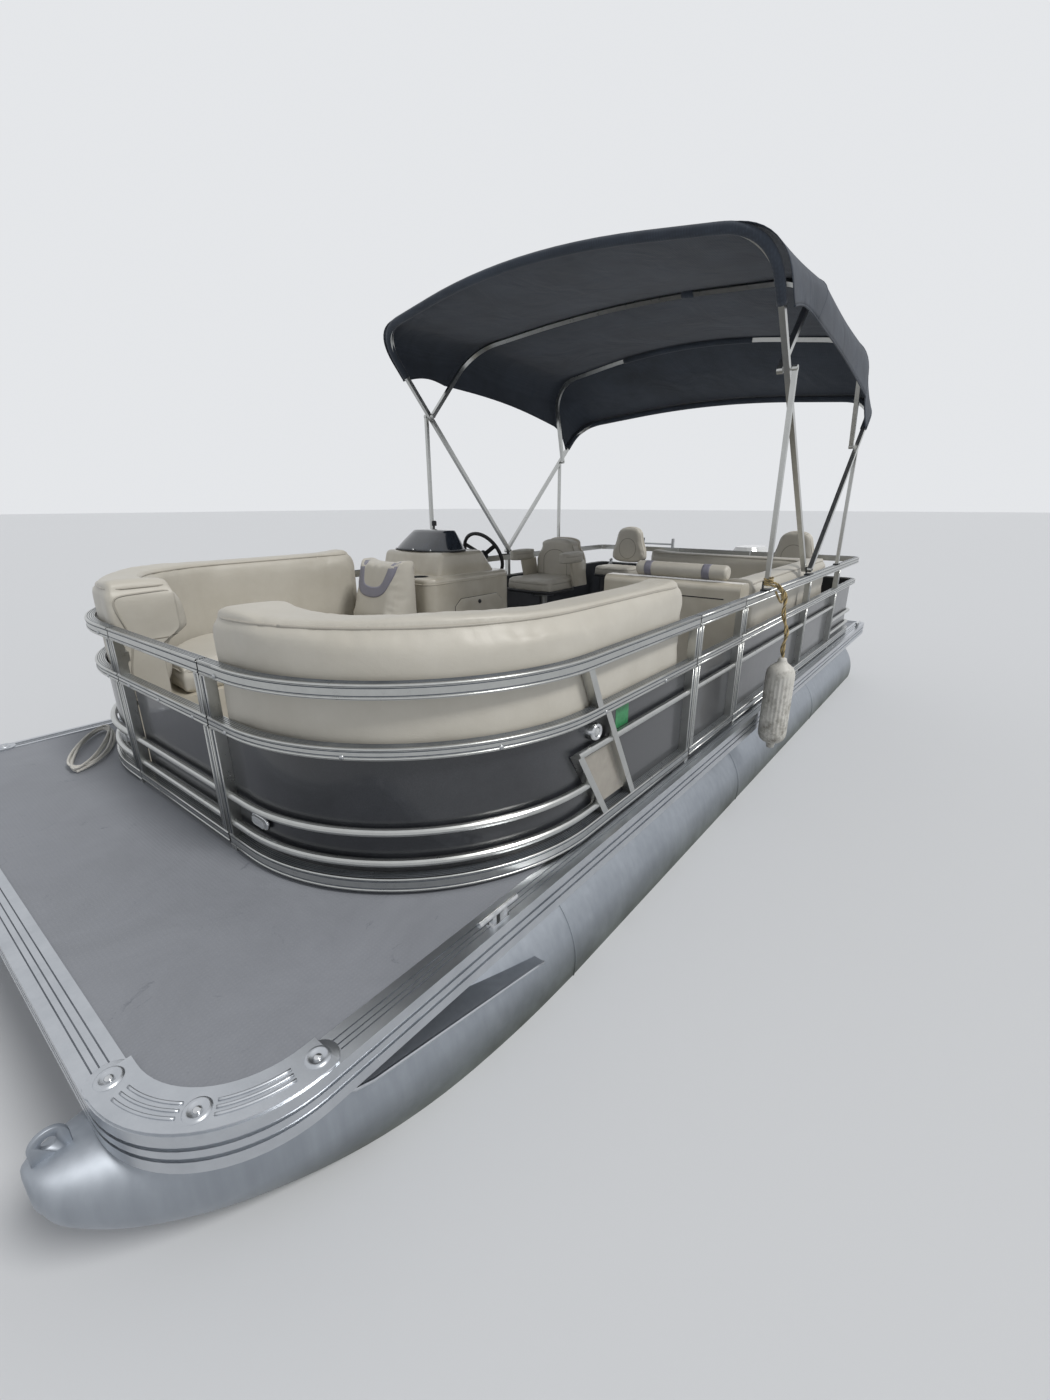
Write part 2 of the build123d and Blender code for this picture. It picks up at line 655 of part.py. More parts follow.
def seat_lid(aft_x):
    """The hinged side cushion of a port bow lounge."""
    cushion_line = fence_outline(BACK_INNER + CUSHION_GAP)
    return slab(window(cushion_line, aft_x, LID_FRONT, LOUNGE_INNER_Y, FENCE_Y), BASE_TOP_Z, SEAT_TOP_Z)


def corner_cushion():
    """The fixed cushion in the corner of a port bow lounge."""
    inset = BACK_INNER + CUSHION_GAP
    inner_x = FENCE_FRONT - LOUNGE_FRONT_SEAT
    plan = lounge_plan(inset, LID_FRONT + CUSHION_GAP, inner_x, LOUNGE_INNER_Y)
    return slab(plan, BASE_TOP_Z, SEAT_TOP_Z)


def backrest(aft_x):
    """The long backrest of a port bow lounge, round the fence's corner."""
    with BuildPart() as piece:
        plan = window(strip(fence_outline, SEAT_GAP, BACK_INNER), aft_x, FENCE_FRONT, GATE_Y, FENCE_Y)
        add(slab(plan, BASE_TOP_Z, DECK_TOP + BOW_BACK_TOP))
        fillet(piece.edges().filter_by(Axis.Y).group_by(Axis.X)[0].sort_by(Axis.Z)[-1], BACK_AFT_R)
        top = piece.faces().sort_by(Axis.Z)[-1]
        fillet(top.edges().sort_by(Axis.X)[1:], BACK_TOP_R)
    return piece.part


with BuildPart() as bow_lounge_bases:
    add(lounge_base(PORT_LOUNGE_AFT, PORT_LOUNGE_AFT))
    mirror(lounge_base(STARBOARD_LOUNGE_AFT, CHAISE_FRONT + CUSHION_GAP), about=Plane.XZ)
save(bow_lounge_bases, "bow_lounge_bases")

with BuildPart() as port_bow_seat:
    add(seat_lid(PORT_LOUNGE_AFT))
save(port_bow_seat, "port_bow_seat")

with BuildPart() as starboard_bow_seat:
    mirror(seat_lid(CHAISE_FRONT + CUSHION_GAP), about=Plane.XZ)
save(starboard_bow_seat, "starboard_bow_seat")

with BuildPart() as port_bow_backrest:
    add(backrest(PORT_LOUNGE_AFT))
save(port_bow_backrest, "port_bow_backrest")

with BuildPart() as starboard_bow_backrest:
    mirror(backrest(STARBOARD_LOUNGE_AFT), about=Plane.XZ)
save(starboard_bow_backrest, "starboard_bow_backrest")

CHAISE_BACK = BOW_X - 2195.0
CHAISE_TOP = 752.0
CHAISE_LEAN = 112.0
with BuildPart() as chaise_back:
    add(side_plate((
        (CHAISE_FRONT, BASE_TOP_Z),
        (CHAISE_FRONT - 10, SEAT_TOP_Z + 20),
        (CHAISE_FRONT - CHAISE_LEAN, DECK_TOP + CHAISE_TOP),
        (CHAISE_BACK, DECK_TOP + CHAISE_TOP),
        (CHAISE_BACK, BASE_TOP_Z),
    ), CHAISE_IN - FENCE_Y, -LOUNGE_INNER_Y - 2))
    fillet(chaise_back.edges().filter_by(Axis.Y).group_by(Axis.Z)[-1], 30)
save(chaise_back, "chaise_back")

# Aft lounge along the port side and across the boat, with a raised front end
AFT_FRONT = BOW_X - 2800.0
AFT_END_THICK = 130.0
AFT_BACK_X = BOW_X - 4640.0
AFT_CROSS_Y = -200.0
AFT_INNER_Y = 420.0
AFT_END_Y = 390.0
AFT_END_TOP = 670.0
AFT_CROSS_X = AFT_BACK_X + BACK_THICK + 440.0
AFT_GAP = 80.0
aft_side_y = FENCE_Y - AFT_GAP
aft_back_y = aft_side_y - BACK_THICK
aft_seat_front = AFT_FRONT - AFT_END_THICK - CUSHION_GAP
aft_cross_front = AFT_CROSS_X + CUSHION_GAP

with BuildPart() as aft_lounge_base:
    add(block(AFT_BACK_X, AFT_FRONT - AFT_END_THICK - 1, AFT_INNER_Y, aft_side_y, DECK_TOP, BASE_TOP_Z))
    add(block(AFT_BACK_X, AFT_CROSS_X, AFT_CROSS_Y, aft_side_y, DECK_TOP, BASE_TOP_Z))
    add(block(aft_cross_front + BIN_RIM, aft_seat_front - BIN_RIM, AFT_INNER_Y + BIN_RIM,
              aft_back_y - CUSHION_GAP - BIN_RIM, DECK_TOP + BASE_WALL, BASE_TOP_Z + 1),
        mode=Mode.SUBTRACT)
save(aft_lounge_base, "aft_lounge_base")

with BuildPart() as aft_lounge_seat:
    add(block(aft_cross_front, aft_seat_front, AFT_INNER_Y, aft_back_y - CUSHION_GAP,
              BASE_TOP_Z, SEAT_TOP_Z))
save(aft_lounge_seat, "aft_lounge_seat")

with BuildPart() as fixed_cushions:
    add(corner_cushion())
    mirror(corner_cushion(), about=Plane.XZ)
    add(block(AFT_BACK_X + BACK_THICK + CUSHION_GAP, AFT_CROSS_X, AFT_CROSS_Y,
              aft_back_y - CUSHION_GAP, BASE_TOP_Z, SEAT_TOP_Z))
save(fixed_cushions, "fixed_cushions")

with BuildPart() as aft_backrest:
    add(block(AFT_BACK_X, aft_seat_front + CUSHION_GAP - 1, aft_back_y, aft_side_y,
              BASE_TOP_Z, DECK_TOP + AFT_BACK_TOP))
    add(block(AFT_BACK_X, AFT_BACK_X + BACK_THICK, AFT_CROSS_Y, aft_side_y,
              BASE_TOP_Z, DECK_TOP + AFT_BACK_TOP))
    fillet(aft_backrest.faces().sort_by(Axis.Z)[-1].edges(), 30)
save(aft_backrest, "aft_backrest")

with BuildPart() as aft_lounge_end:
    add(block(AFT_FRONT - AFT_END_THICK, AFT_FRONT, AFT_END_Y, aft_side_y, DECK_TOP,
              DECK_TOP + AFT_END_TOP))
    fillet(aft_lounge_end.edges().filter_by(Axis.Y).group_by(Axis.Z)[-1], 36)
save(aft_lounge_end, "aft_lounge_end")

BOLSTER_R = 44.0
BOLSTER_LENGTH = 520.0
BOLSTER_Y = (aft_side_y - 85.0 - BOLSTER_LENGTH, aft_side_y - 85.0)
with BuildPart() as headrest_bolster:
    x = AFT_FRONT - AFT_END_THICK / 2
    z = DECK_TOP + AFT_END_TOP + BOLSTER_R
    add(rod((x, BOLSTER_Y[0], z), (x, BOLSTER_Y[1], z), BOLSTER_R))
    chamfer(headrest_bolster.edges().filter_by(GeomType.CIRCLE), 14)
save(headrest_bolster, "headrest_bolster")

# Helm console
CONSOLE_FRONT = BOW_X - 2260.0
CONSOLE_BACK = BOW_X - 3010.0
CONSOLE_WIDTH = 690.0
CONSOLE_Y = (CONSOLE_IN - FENCE_Y, CONSOLE_IN - FENCE_Y + CONSOLE_WIDTH)
CONSOLE_STEP = 625.0
POD_Y = (CONSOLE_Y[0] + 60.0, CONSOLE_Y[1] - 80.0)
POD_TOP = 760.0
POD_SUNK = 60.0
CONSOLE_CORNER_R = 70.0
CONSOLE_TOP_R = 26.0
CUP_R = 42.0
CUP_DEPTH = 75.0
CUP_SPOT = (CONSOLE_FRONT - 62.0, CONSOLE_Y[1] - 150.0)
WHEEL_TILT = 25.0
WHEEL_SPOT = (CONSOLE_BACK - 105.0, WHEEL_IN - FENCE_Y, DECK_TOP + 690.0)
WHEEL_AXIS = (-cos(radians(WHEEL_TILT)), 0.0, sin(radians(WHEEL_TILT)))
WHEEL_UP = (sin(radians(WHEEL_TILT)), 0.0, cos(radians(WHEEL_TILT)))
WHEEL_R = 172.0
WHEEL_RIM = 13.0
WHEEL_HUB = (34.0, 30.0)  # radius, height
WHEEL_SPOKE = (30.0, 8.0)  # width, thickness
SHAFT_R = 16.0
SHAFT_GAP = 0.3
SHAFT_LENGTH = 150.0
WHEEL_PLANE = Plane(origin=WHEEL_SPOT, x_dir=(0, 1, 0), z_dir=WHEEL_AXIS)

with BuildPart() as console:
    with BuildSketch(Plane.XY.offset(DECK_TOP)):
        with Locations(((CONSOLE_FRONT + CONSOLE_BACK) / 2, sum(CONSOLE_Y) / 2)):
            Rectangle(CONSOLE_FRONT - CONSOLE_BACK, CONSOLE_Y[1] - CONSOLE_Y[0])
    extrude(amount=CONSOLE_STEP)
    fillet(console.edges().filter_by(Axis.Z), CONSOLE_CORNER_R)
    fillet(console.faces().sort_by(Axis.Z)[-1].edges(), CONSOLE_TOP_R)
    pod_low = DECK_TOP + CONSOLE_STEP - POD_SUNK
    add(side_plate((
        (CONSOLE_FRONT - 130, pod_low),
        (CONSOLE_FRONT - 185, DECK_TOP + POD_TOP),
        (CONSOLE_BACK + 190, DECK_TOP + POD_TOP),
        (CONSOLE_BACK + 30, pod_low),
    ), *POD_Y))
    with Locations((*CUP_SPOT, DECK_TOP + CONSOLE_STEP - CUP_DEPTH)):
        Cylinder(CUP_R, CUP_DEPTH + 5, align=(Align.CENTER, Align.CENTER, Align.MIN),
                 mode=Mode.SUBTRACT)
    foot = WHEEL_PLANE.from_local_coords((0, 0, -WHEEL_HUB[1] / 2 - SHAFT_GAP))
    root = WHEEL_PLANE.from_local_coords((0, 0, -SHAFT_LENGTH))
    add(rod((root.X, root.Y, root.Z), (foot.X, foot.Y, foot.Z), SHAFT_R))
save(console, "console")

SMOKED_TOP = 885.0
with BuildPart() as console_cowl:
    half = (POD_Y[1] - POD_Y[0]) / 2
    add(tower((
        (DECK_TOP + POD_TOP, eased_box(CONSOLE_FRONT - 340, 290, 2 * half - 20, 70)),
        (DECK_TOP + SMOKED_TOP, eased_box(CONSOLE_FRONT - 385, 130, 2 * half - 220, 50)),
    )).moved(Location((0, sum(POD_Y) / 2, 0))))
save(console_cowl, "console_cowl")

# Steering wheel
with BuildPart() as steering_wheel:
    with Locations(WHEEL_PLANE):
        Cylinder(*WHEEL_HUB)
    with BuildSketch(Plane(origin=WHEEL_SPOT, x_dir=(0, 1, 0), z_dir=WHEEL_UP)):
        with Locations((WHEEL_R, 0)):
            RegularPolygon(WHEEL_RIM, 8)
    revolve(axis=Axis(WHEEL_SPOT, WHEEL_AXIS))
    with BuildSketch(WHEEL_PLANE.offset(-WHEEL_SPOKE[1] / 2)):
        with PolarLocations(WHEEL_R / 2, 3, start_angle=90):
            Rectangle(WHEEL_R, WHEEL_SPOKE[0])
    extrude(amount=WHEEL_SPOKE[1])
save(steering_wheel, "steering_wheel")

THROTTLE_Y = THROTTLE_IN - FENCE_Y
with BuildPart() as throttle:
    base_x = CONSOLE_BACK + 245
    top_z = DECK_TOP + POD_TOP
    add(block(base_x - 60, base_x + 10, THROTTLE_Y - 40, THROTTLE_Y + 40, top_z, top_z + 42))
    add(rod((base_x - 25, THROTTLE_Y, top_z + 20), (base_x - 45, THROTTLE_Y, top_z + 150), 7))
    with Locations((base_x - 46, THROTTLE_Y, top_z + 160)):
        Cylinder(17, 34)
    chamfer(throttle.faces().sort_by(Axis.Z)[-1].edges(), 6)
save(throttle, "throttle")

# Chairs on pedestals
CHAIR_Y = FENCE_Y - CHAIR_IN
CHAIRS = (  # name, X, Y
    ("helm", BOW_X - 3790.0, -CHAIR_Y),
    ("port_fishing", BOW_X - 5050.0, CHAIR_Y),
    ("starboard_fishing", BOW_X - 5050.0, -CHAIR_Y),
)
PEDESTAL_TOP = 330.0
PEDESTAL_R = 32.0
PEDESTAL_FOOT_R = 115.0
PEDESTAL_FOOT = 9.0
SWIVEL_GAP = 1.0
PIVOT_R = 14.0
PIVOT_LENGTH = 30.0
PIVOT_PLAY = 0.3
with BuildPart() as chair_pedestals:
    for name, x, y in CHAIRS:
        with Locations((x, y, DECK_TOP)):
            Cylinder(PEDESTAL_FOOT_R, PEDESTAL_FOOT, align=(Align.CENTER, Align.CENTER, Align.MIN))
            Cylinder(PEDESTAL_R, PEDESTAL_TOP, align=(Align.CENTER, Align.CENTER, Align.MIN))
            Cylinder(PIVOT_R, PEDESTAL_TOP + PIVOT_LENGTH,
                     align=(Align.CENTER, Align.CENTER, Align.MIN))
save(chair_pedestals, "chair_pedestals")

HELM_SEAT = (500.0, 480.0, 105.0)  # depth, width, height
HELM_BACK_TOP = 790.0
HELM_BACK = (450.0, 140.0)  # width, thickness
HELM_SHOULDER = 640.0
HELM_ARM_Y = 250.0
HELM_ARM = (330.0, 70.0, 75.0)
HELM_ARM_LOW = 600.0
PLATE_R = 95.0
PLATE_HEIGHT = 36.0
PLATE_SUNK = 2.0  # how far the plate reaches into the cushion
seat_low = DECK_TOP + PEDESTAL_TOP + SWIVEL_GAP
cushion_low = seat_low + PLATE_HEIGHT - PLATE_SUNK


def swivel_plate(x, y):
    """The plate under a chair, bored for the pedestal's pivot."""
    with BuildPart() as piece:
        with Locations((x, y, seat_low)):
            Cylinder(PLATE_R, PLATE_HEIGHT, align=(Align.CENTER, Align.CENTER, Align.MIN))
            Cylinder(PIVOT_R + PIVOT_PLAY, PIVOT_LENGTH - SWIVEL_GAP + 2,
                     align=(Align.CENTER, Align.CENTER, Align.MIN), mode=Mode.SUBTRACT)
    return piece.part


with BuildPart() as helm_chair:
    name, x, y = CHAIRS[0]
    depth, width, height = HELM_SEAT
    back_width, back_thick = HELM_BACK
    arm_length, arm_width, arm_height = HELM_ARM
    add(swivel_plate(x, y))
    add(block(x - depth / 2, x + depth / 2, y - width / 2, y + width / 2, cushion_low,
              cushion_low + height))
    fillet(helm_chair.edges().filter_by(Axis.Z).group_by(Axis.X)[-1], 60)
    with BuildSketch(Plane.YZ.offset(x - depth / 2 - 60)):
        with BuildLine():
            low, shoulder, top = cushion_low + 40, DECK_TOP + HELM_SHOULDER, DECK_TOP + HELM_BACK_TOP
            edge = back_width / 2
            FilletPolyline((y - edge, low), (y + edge, low), (y + edge, shoulder), (y + edge - 70, top),
                           (y - edge + 70, top), (y - edge, shoulder), radius=(20, 20, 50, 70, 70, 50),
                           close=True)
        make_face()
    extrude(amount=back_thick)
    for side in (-1, 1):
        arm_y = y + side * HELM_ARM_Y
        arm_x = x - depth / 2 + 40
        arm_z = DECK_TOP + HELM_ARM_LOW
        with BuildSketch(Plane.XY.offset(arm_z)):
            with Locations((arm_x + arm_length / 2, arm_y)):
                RectangleRounded(arm_length, arm_width, 0.45 * arm_width)
        extrude(amount=arm_height)
        add(block(arm_x + 14, arm_x + 74, arm_y - 20, arm_y + 20, cushion_low + 60, arm_z + 10))
save(helm_chair, "helm_chair")

FISH_SEAT = (410.0, 430.0, 95.0)
FISH_BACK_TOP = 840.0
FISH_BACK_THICK = 75.0
FISH_BACK_HALF = 190.0
FISH_BACK_TOP_HALF = 130.0
FISH_HINGE_X = 30.0
FISH_HINGE_RISE = 36.0
FISH_EAR = 12.0
FISH_EAR_GAP = 6.0
FISH_PIN_R = 7.0


def fishing_seat(x, y):
    """The seat of a fishing chair, with hinge ears for its folding back."""
    depth, width, height = FISH_SEAT
    low = cushion_low
    hinge_x = x - depth / 2 + FISH_HINGE_X
    pin_z = low + height + FISH_HINGE_RISE
    ear_in = FISH_BACK_HALF + FISH_EAR_GAP
    with BuildPart() as piece:
        add(swivel_plate(x, y))
        add(block(x - depth / 2 + 70, x + depth / 2, y - width / 2, y + width / 2, low, low + height))
        fillet(piece.edges().filter_by(Axis.Z).group_by(Axis.X)[-1], 70)
        for side in (-1, 1):
            ear = sorted((y + side * ear_in, y + side * (ear_in + FISH_EAR)))
            add(block(hinge_x - 14, hinge_x + 60, *ear, low + 20, pin_z + 16))
            add(rod((hinge_x, y + side * ear_in, pin_z),
                    (hinge_x, y + side * (FISH_BACK_HALF - FISH_EAR), pin_z), FISH_PIN_R))
    return piece.part


def fishing_back(x, y):
    """The folding back of a fishing chair, bored for its hinge pins."""
    depth, width, height = FISH_SEAT
    low = cushion_low + height + 6
    hinge_x = x - depth / 2 + FISH_HINGE_X
    hinge_z = cushion_low + height + FISH_HINGE_RISE
    with BuildPart() as piece:
        with BuildSketch(Plane.YZ.offset(hinge_x - FISH_BACK_THICK / 2 - 8)):
            with BuildLine():
                top = DECK_TOP + FISH_BACK_TOP
                wide, narrow = FISH_BACK_HALF, FISH_BACK_TOP_HALF
                FilletPolyline((y - wide, low), (y + wide, low), (y + wide, low + 130), (y + narrow, top),
                               (y - narrow, top), (y - wide, low + 130), radius=(20, 20, 60, 95, 95, 60),
                               close=True)
            make_face()
        extrude(amount=FISH_BACK_THICK)
        with Locations(Location((hinge_x, y, hinge_z), (90, 0, 0))):
            Cylinder(FISH_PIN_R + PIVOT_PLAY, 500, mode=Mode.SUBTRACT)
    return piece.part


for name, x, y in CHAIRS[1:]:
    with BuildPart() as seat:
        add(fishing_seat(x, y))
    save(seat, f"{name}_seat")
    with BuildPart() as back:
        add(fishing_back(x, y))
    save(back, f"{name}_back")

# Folding canopy frame
BOW_TUBE = 26.0
STRUT_TUBE = 22.0
HINGE_X = BOW_X - 3850.0
HINGE_Z = DECK_TOP + 660.0
REAR_LEG_Y = SIDE_MID
FRONT_LEG_Y = REAR_LEG_Y - 34.0
SECOND_LEG_Y = FRONT_LEG_Y - 32.0
THIRD_LEG_Y = REAR_LEG_Y - 34.0
FRONT_LEAN = 41.5
SECOND_LEAN = -42.0
THIRD_LEAN = 13.0
REAR_LEAN = -46.0
FRONT_RISE = 2060.0
SECOND_RISE = 800.0
THIRD_RISE = 800.0
REAR_RISE = 1740.0
FRONT_JOINT = 1295.0
REAR_JOINT = 1083.0
CROWN_SLOPE = 0.148
CROWN_R = 4500.0
CORNER_R = 250.0
EYE_R = 15.0
PIN_R = 6.0
PIN_PLAY = 0.3
MOUNT_BASE = 8.0


def lean_point(origin, lean, along):
    """The point that lies along mm up a line leaning by lean degrees from upright."""
    return (origin[0] + along * sin(radians(lean)), origin[1] + along * cos(radians(lean)))


def bow_plane(origin, lean):
    """The plane of a canopy bow, X to port and Y up the bow."""
    tilt = radians(lean)
    return Plane(origin=(origin[0], 0, origin[1]), x_dir=(0, 1, 0), z_dir=(cos(tilt), 0, -sin(tilt)))


def bow_corners(half_width, foot, rise):
    """Corners of a bow's line: feet, shoulders and crown."""
    shoulder = rise - CROWN_SLOPE * half_width
    return ((-half_width, foot), (-half_width, shoulder), (0, rise), (half_width, shoulder),
            (half_width, foot))


def canopy_bow(origin, lean, leg_y, rise):
    """A bow from its hinge eyes up and over, bored for the hinge pins."""
    plane = bow_plane(origin, lean)
    up = (sin(radians(lean)), 0, cos(radians(lean)))
    with BuildPart() as piece:
        with BuildLine(plane) as path:
            FilletPolyline(*bow_corners(leg_y, 0, rise), radius=(CORNER_R, CROWN_R, CORNER_R))
        with BuildSketch(Plane(origin=path.line @ 0, x_dir=(0, 1, 0), z_dir=up)):
            Rectangle(BOW_TUBE, BOW_TUBE)
        sweep()
        for side in (-1, 1):
            with Locations(Location((origin[0], side * leg_y, origin[1]), (90, 0, 0))):
                Cylinder(EYE_R, BOW_TUBE)
                Cylinder(PIN_R + PIN_PLAY, 2 * BOW_TUBE, mode=Mode.SUBTRACT)
    return piece.part


def side_pins(spot, y_low, y_high):
    """A pivot pin on each side of the boat at an X, Z spot."""
    with BuildPart() as piece:
        for side in (-1, 1):
            add(rod((spot[0], side * y_low, spot[1]), (spot[0], side * y_high, spot[1]), PIN_R))
    return piece.part


HINGE = (HINGE_X, HINGE_Z)
JOINT_1 = lean_point(HINGE, FRONT_LEAN, FRONT_JOINT)
JOINT_2 = lean_point(HINGE, REAR_LEAN, REAR_JOINT)
half_tube = BOW_TUBE / 2

with BuildPart() as bimini_front_bow:
    add(canopy_bow(HINGE, FRONT_LEAN, FRONT_LEG_Y, FRONT_RISE))
    add(side_pins(JOINT_1, SECOND_LEG_Y - half_tube - 3, REAR_LEG_Y + 13))
save(bimini_front_bow, "bimini_front_bow")

with BuildPart() as bimini_second_bow:
    add(canopy_bow(JOINT_1, SECOND_LEAN, SECOND_LEG_Y, SECOND_RISE))
save(bimini_second_bow, "bimini_second_bow")

with BuildPart() as bimini_third_bow:
    add(canopy_bow(JOINT_2, THIRD_LEAN, THIRD_LEG_Y, THIRD_RISE))
save(bimini_third_bow, "bimini_third_bow")

STRUT_FOOT_Z = RAIL_TOP + 24.0
with BuildPart() as bimini_rear_frame:
    add(canopy_bow(HINGE, REAR_LEAN, REAR_LEG_Y, REAR_RISE))
    add(side_pins(JOINT_2, THIRD_LEG_Y - half_tube - 3, REAR_LEG_Y))
    for side in (-1, 1):
        half = STRUT_TUBE / 2
        y = side * REAR_LEG_Y
        add(block(JOINT_2[0] - half, JOINT_2[0] + half, y - half, y + half,
                  RAIL_TOP + MOUNT_BASE, JOINT_2[1]))
save(bimini_rear_frame, "bimini_rear_frame")

with BuildPart() as bimini_front_struts:
    for side in (-1, 1):
        half = STRUT_TUBE / 2
        y = side * REAR_LEG_Y
        add(block(JOINT_1[0] - half, JOINT_1[0] + half, y - half, y + half,
                  STRUT_FOOT_Z, JOINT_1[1]))
        with Locations(Location((JOINT_1[0], y, JOINT_1[1]), (90, 0, 0))):
            Cylinder(EYE_R, STRUT_TUBE)
            Cylinder(PIN_R + PIN_PLAY, 2 * STRUT_TUBE, mode=Mode.SUBTRACT)
save(bimini_front_struts, "bimini_front_struts")

# Fittings on the top rail: hinge ears with pins, strut feet
EAR_THICK = 4.0
EAR_HALF = 14.0
HINGE_BASE_HALF = 45.0
STRUT_BASE_HALF = 32.0
EAR_Y = (FRONT_LEG_Y + half_tube + REAR_LEG_Y - half_tube) / 2
with BuildPart() as bimini_mounts:
    for side in (-1, 1):
        inner = EAR_Y - EAR_THICK / 2
        outer = SIDE_MID + HALF
        base = sorted((side * inner, side * outer))
        ear = sorted((side * inner, side * (inner + EAR_THICK)))
        for spot, half in ((HINGE_X, HINGE_BASE_HALF), (JOINT_1[0], STRUT_BASE_HALF),
                           (JOINT_2[0], STRUT_BASE_HALF)):
            add(block(spot - half, spot + half, *base, RAIL_TOP, RAIL_TOP + MOUNT_BASE))
        add(block(HINGE_X - EAR_HALF, HINGE_X + EAR_HALF, *ear, RAIL_TOP, HINGE_Z + EAR_HALF))
        add(rod((HINGE_X, side * (FRONT_LEG_Y - half_tube - 3), HINGE_Z),
                (HINGE_X, side * (REAR_LEG_Y + half_tube + 3), HINGE_Z), PIN_R))
        foot_x = JOINT_1[0]
        add(block(foot_x - 12, foot_x + 12, *ear, RAIL_TOP, STRUT_FOOT_Z + 24))
save(bimini_mounts, "bimini_mounts")

# Canopy cloth over the bows
CLOTH = 4.0
CLOTH_LIFT = 29.0
CLOTH_SIDE = REAR_LEG_Y + half_tube + 0.3
CLOTH_DROP = 330.0
CLOTH_STEPS = 4
CANOPY_BOWS = (  # hinge, lean, rise of the crown
    (HINGE, FRONT_LEAN, FRONT_RISE),
    (JOINT_1, SECOND_LEAN, SECOND_RISE),
    (JOINT_2, THIRD_LEAN, THIRD_RISE),
    (HINGE, REAR_LEAN, REAR_RISE),
)
with BuildPart() as bimini_canopy:
    for origin, lean, rise in CANOPY_BOWS:
        inner_rise = rise + CLOTH_LIFT
        hem = inner_rise - CROWN_SLOPE * CLOTH_SIDE - CLOTH_DROP
        outer = bow_corners(CLOTH_SIDE + CLOTH, hem, inner_rise + CLOTH)
        inner = bow_corners(CLOTH_SIDE, hem, inner_rise)
        radii = (0, CORNER_R, CROWN_R, CORNER_R, 0)
        with BuildSketch(bow_plane(origin, lean)):
            Polygon(*eased(outer + inner[::-1], radii + radii, CLOTH_STEPS), align=None)
    loft(ruled=True)
save(bimini_canopy, "bimini_canopy")

# Cleats on the deck trim
CLEATS = ((BOW_X - 845.0, 1), (BOW_X - 845.0, -1), (STERN_X + 260.0, 1), (STERN_X + 260.0, -1))
CLEAT_INSET = 24.0
CLEAT_LENGTH = 150.0
CLEAT_BASE = (68.0, 22.0, 6.0)
CLEAT_FOOT = (14.0, 14.0, 30.0)
CLEAT_FOOT_X = 22.0
CLEAT_BAR_R = 8.0
with BuildPart() as cleats:
    for x, side in CLEATS:
        y = side * (BEAM / 2 - CLEAT_INSET)
        low = DECK_TOP + TRIM_LIP
        bar_z = low + CLEAT_FOOT[2] + CLEAT_BAR_R / 2
        with Locations((x, y, low)):
            Box(*CLEAT_BASE, align=(Align.CENTER, Align.CENTER, Align.MIN))
        with Locations((x - CLEAT_FOOT_X, y, low), (x + CLEAT_FOOT_X, y, low)):
            Box(*CLEAT_FOOT, align=(Align.CENTER, Align.CENTER, Align.MIN))
        add(rod((x - CLEAT_LENGTH / 2, y, bar_z), (x + CLEAT_LENGTH / 2, y, bar_z), CLEAT_BAR_R))
save(cleats, "cleats")

# Navigation and docking lights on the bow panels
SIDE_LIGHT = (BOW_X - 1346.0, DECK_TOP + 384.0)
SIDE_LIGHT_R = 34.0
SIDE_LIGHT_OUT = 10.0
DOCK_LIGHT_Y = BOW_GATE_HALF + FRONT_STRAIGHT + 45.0
DOCK_LIGHT_HALF = 34.0
with BuildPart() as running_lights:
    for side in (-1, 1):
        x, z = SIDE_LIGHT
        add(rod((x, side * FENCE_Y, z), (x, side * (FENCE_Y + SIDE_LIGHT_OUT), z), SIDE_LIGHT_R))
        y = side * DOCK_LIGHT_Y
        span = (y - DOCK_LIGHT_HALF, y + DOCK_LIGHT_HALF)
        add(block(FENCE_FRONT - FENCE_TUBE - 0.2, FENCE_FRONT - 12, *span, DECK_TOP + 132, DECK_TOP + 168))
save(running_lights, "running_lights")

# Boarding ladder, stowed upright: channels on the upper part guide the rails of the lower
LADDER_Y = 435.0 - BEAM / 2
LADDER_HALF = 190.0
LADDER_AXIS = (STERN_X - 26.0, DECK_TOP + 40.0)
LADDER_LENGTH = 640.0
CHANNEL_DEPTH = 30.0
CHANNEL_WALL = 3.0
CHANNEL_WIDTH = 22.0
UPPER_RUNGS = (150.0, 390.0)
LOWER_START = 60.0
LOWER_LENGTH = 560.0
LOWER_RAIL_R = 11.5
LOWER_RUNGS = (40.0, 280.0, 520.0)
LADDER_PIN_R = 6.0
RUNG_R = 10.0
SLIDE_PLAY = 0.5
BRACKET_PLATE = 10.0
BRACKET_GAP = 7.0  # from a ladder channel to its bracket plate

with BuildPart() as ladder_bracket:
    for side in (-1, 1):
        near = LADDER_Y + side * (LADDER_HALF + BRACKET_GAP)
        plate = sorted((near, near + side * BRACKET_PLATE))
        add(block(STERN_X - 46, STERN_X - 0.3, *plate, DECK_TOP - 60, DECK_TOP + 58))
        add(rod((LADDER_AXIS[0], near, LADDER_AXIS[1]),
                (LADDER_AXIS[0], LADDER_Y + side * (LADDER_HALF - 10), LADDER_AXIS[1]),
                LADDER_PIN_R))
save(ladder_bracket, "ladder_bracket")

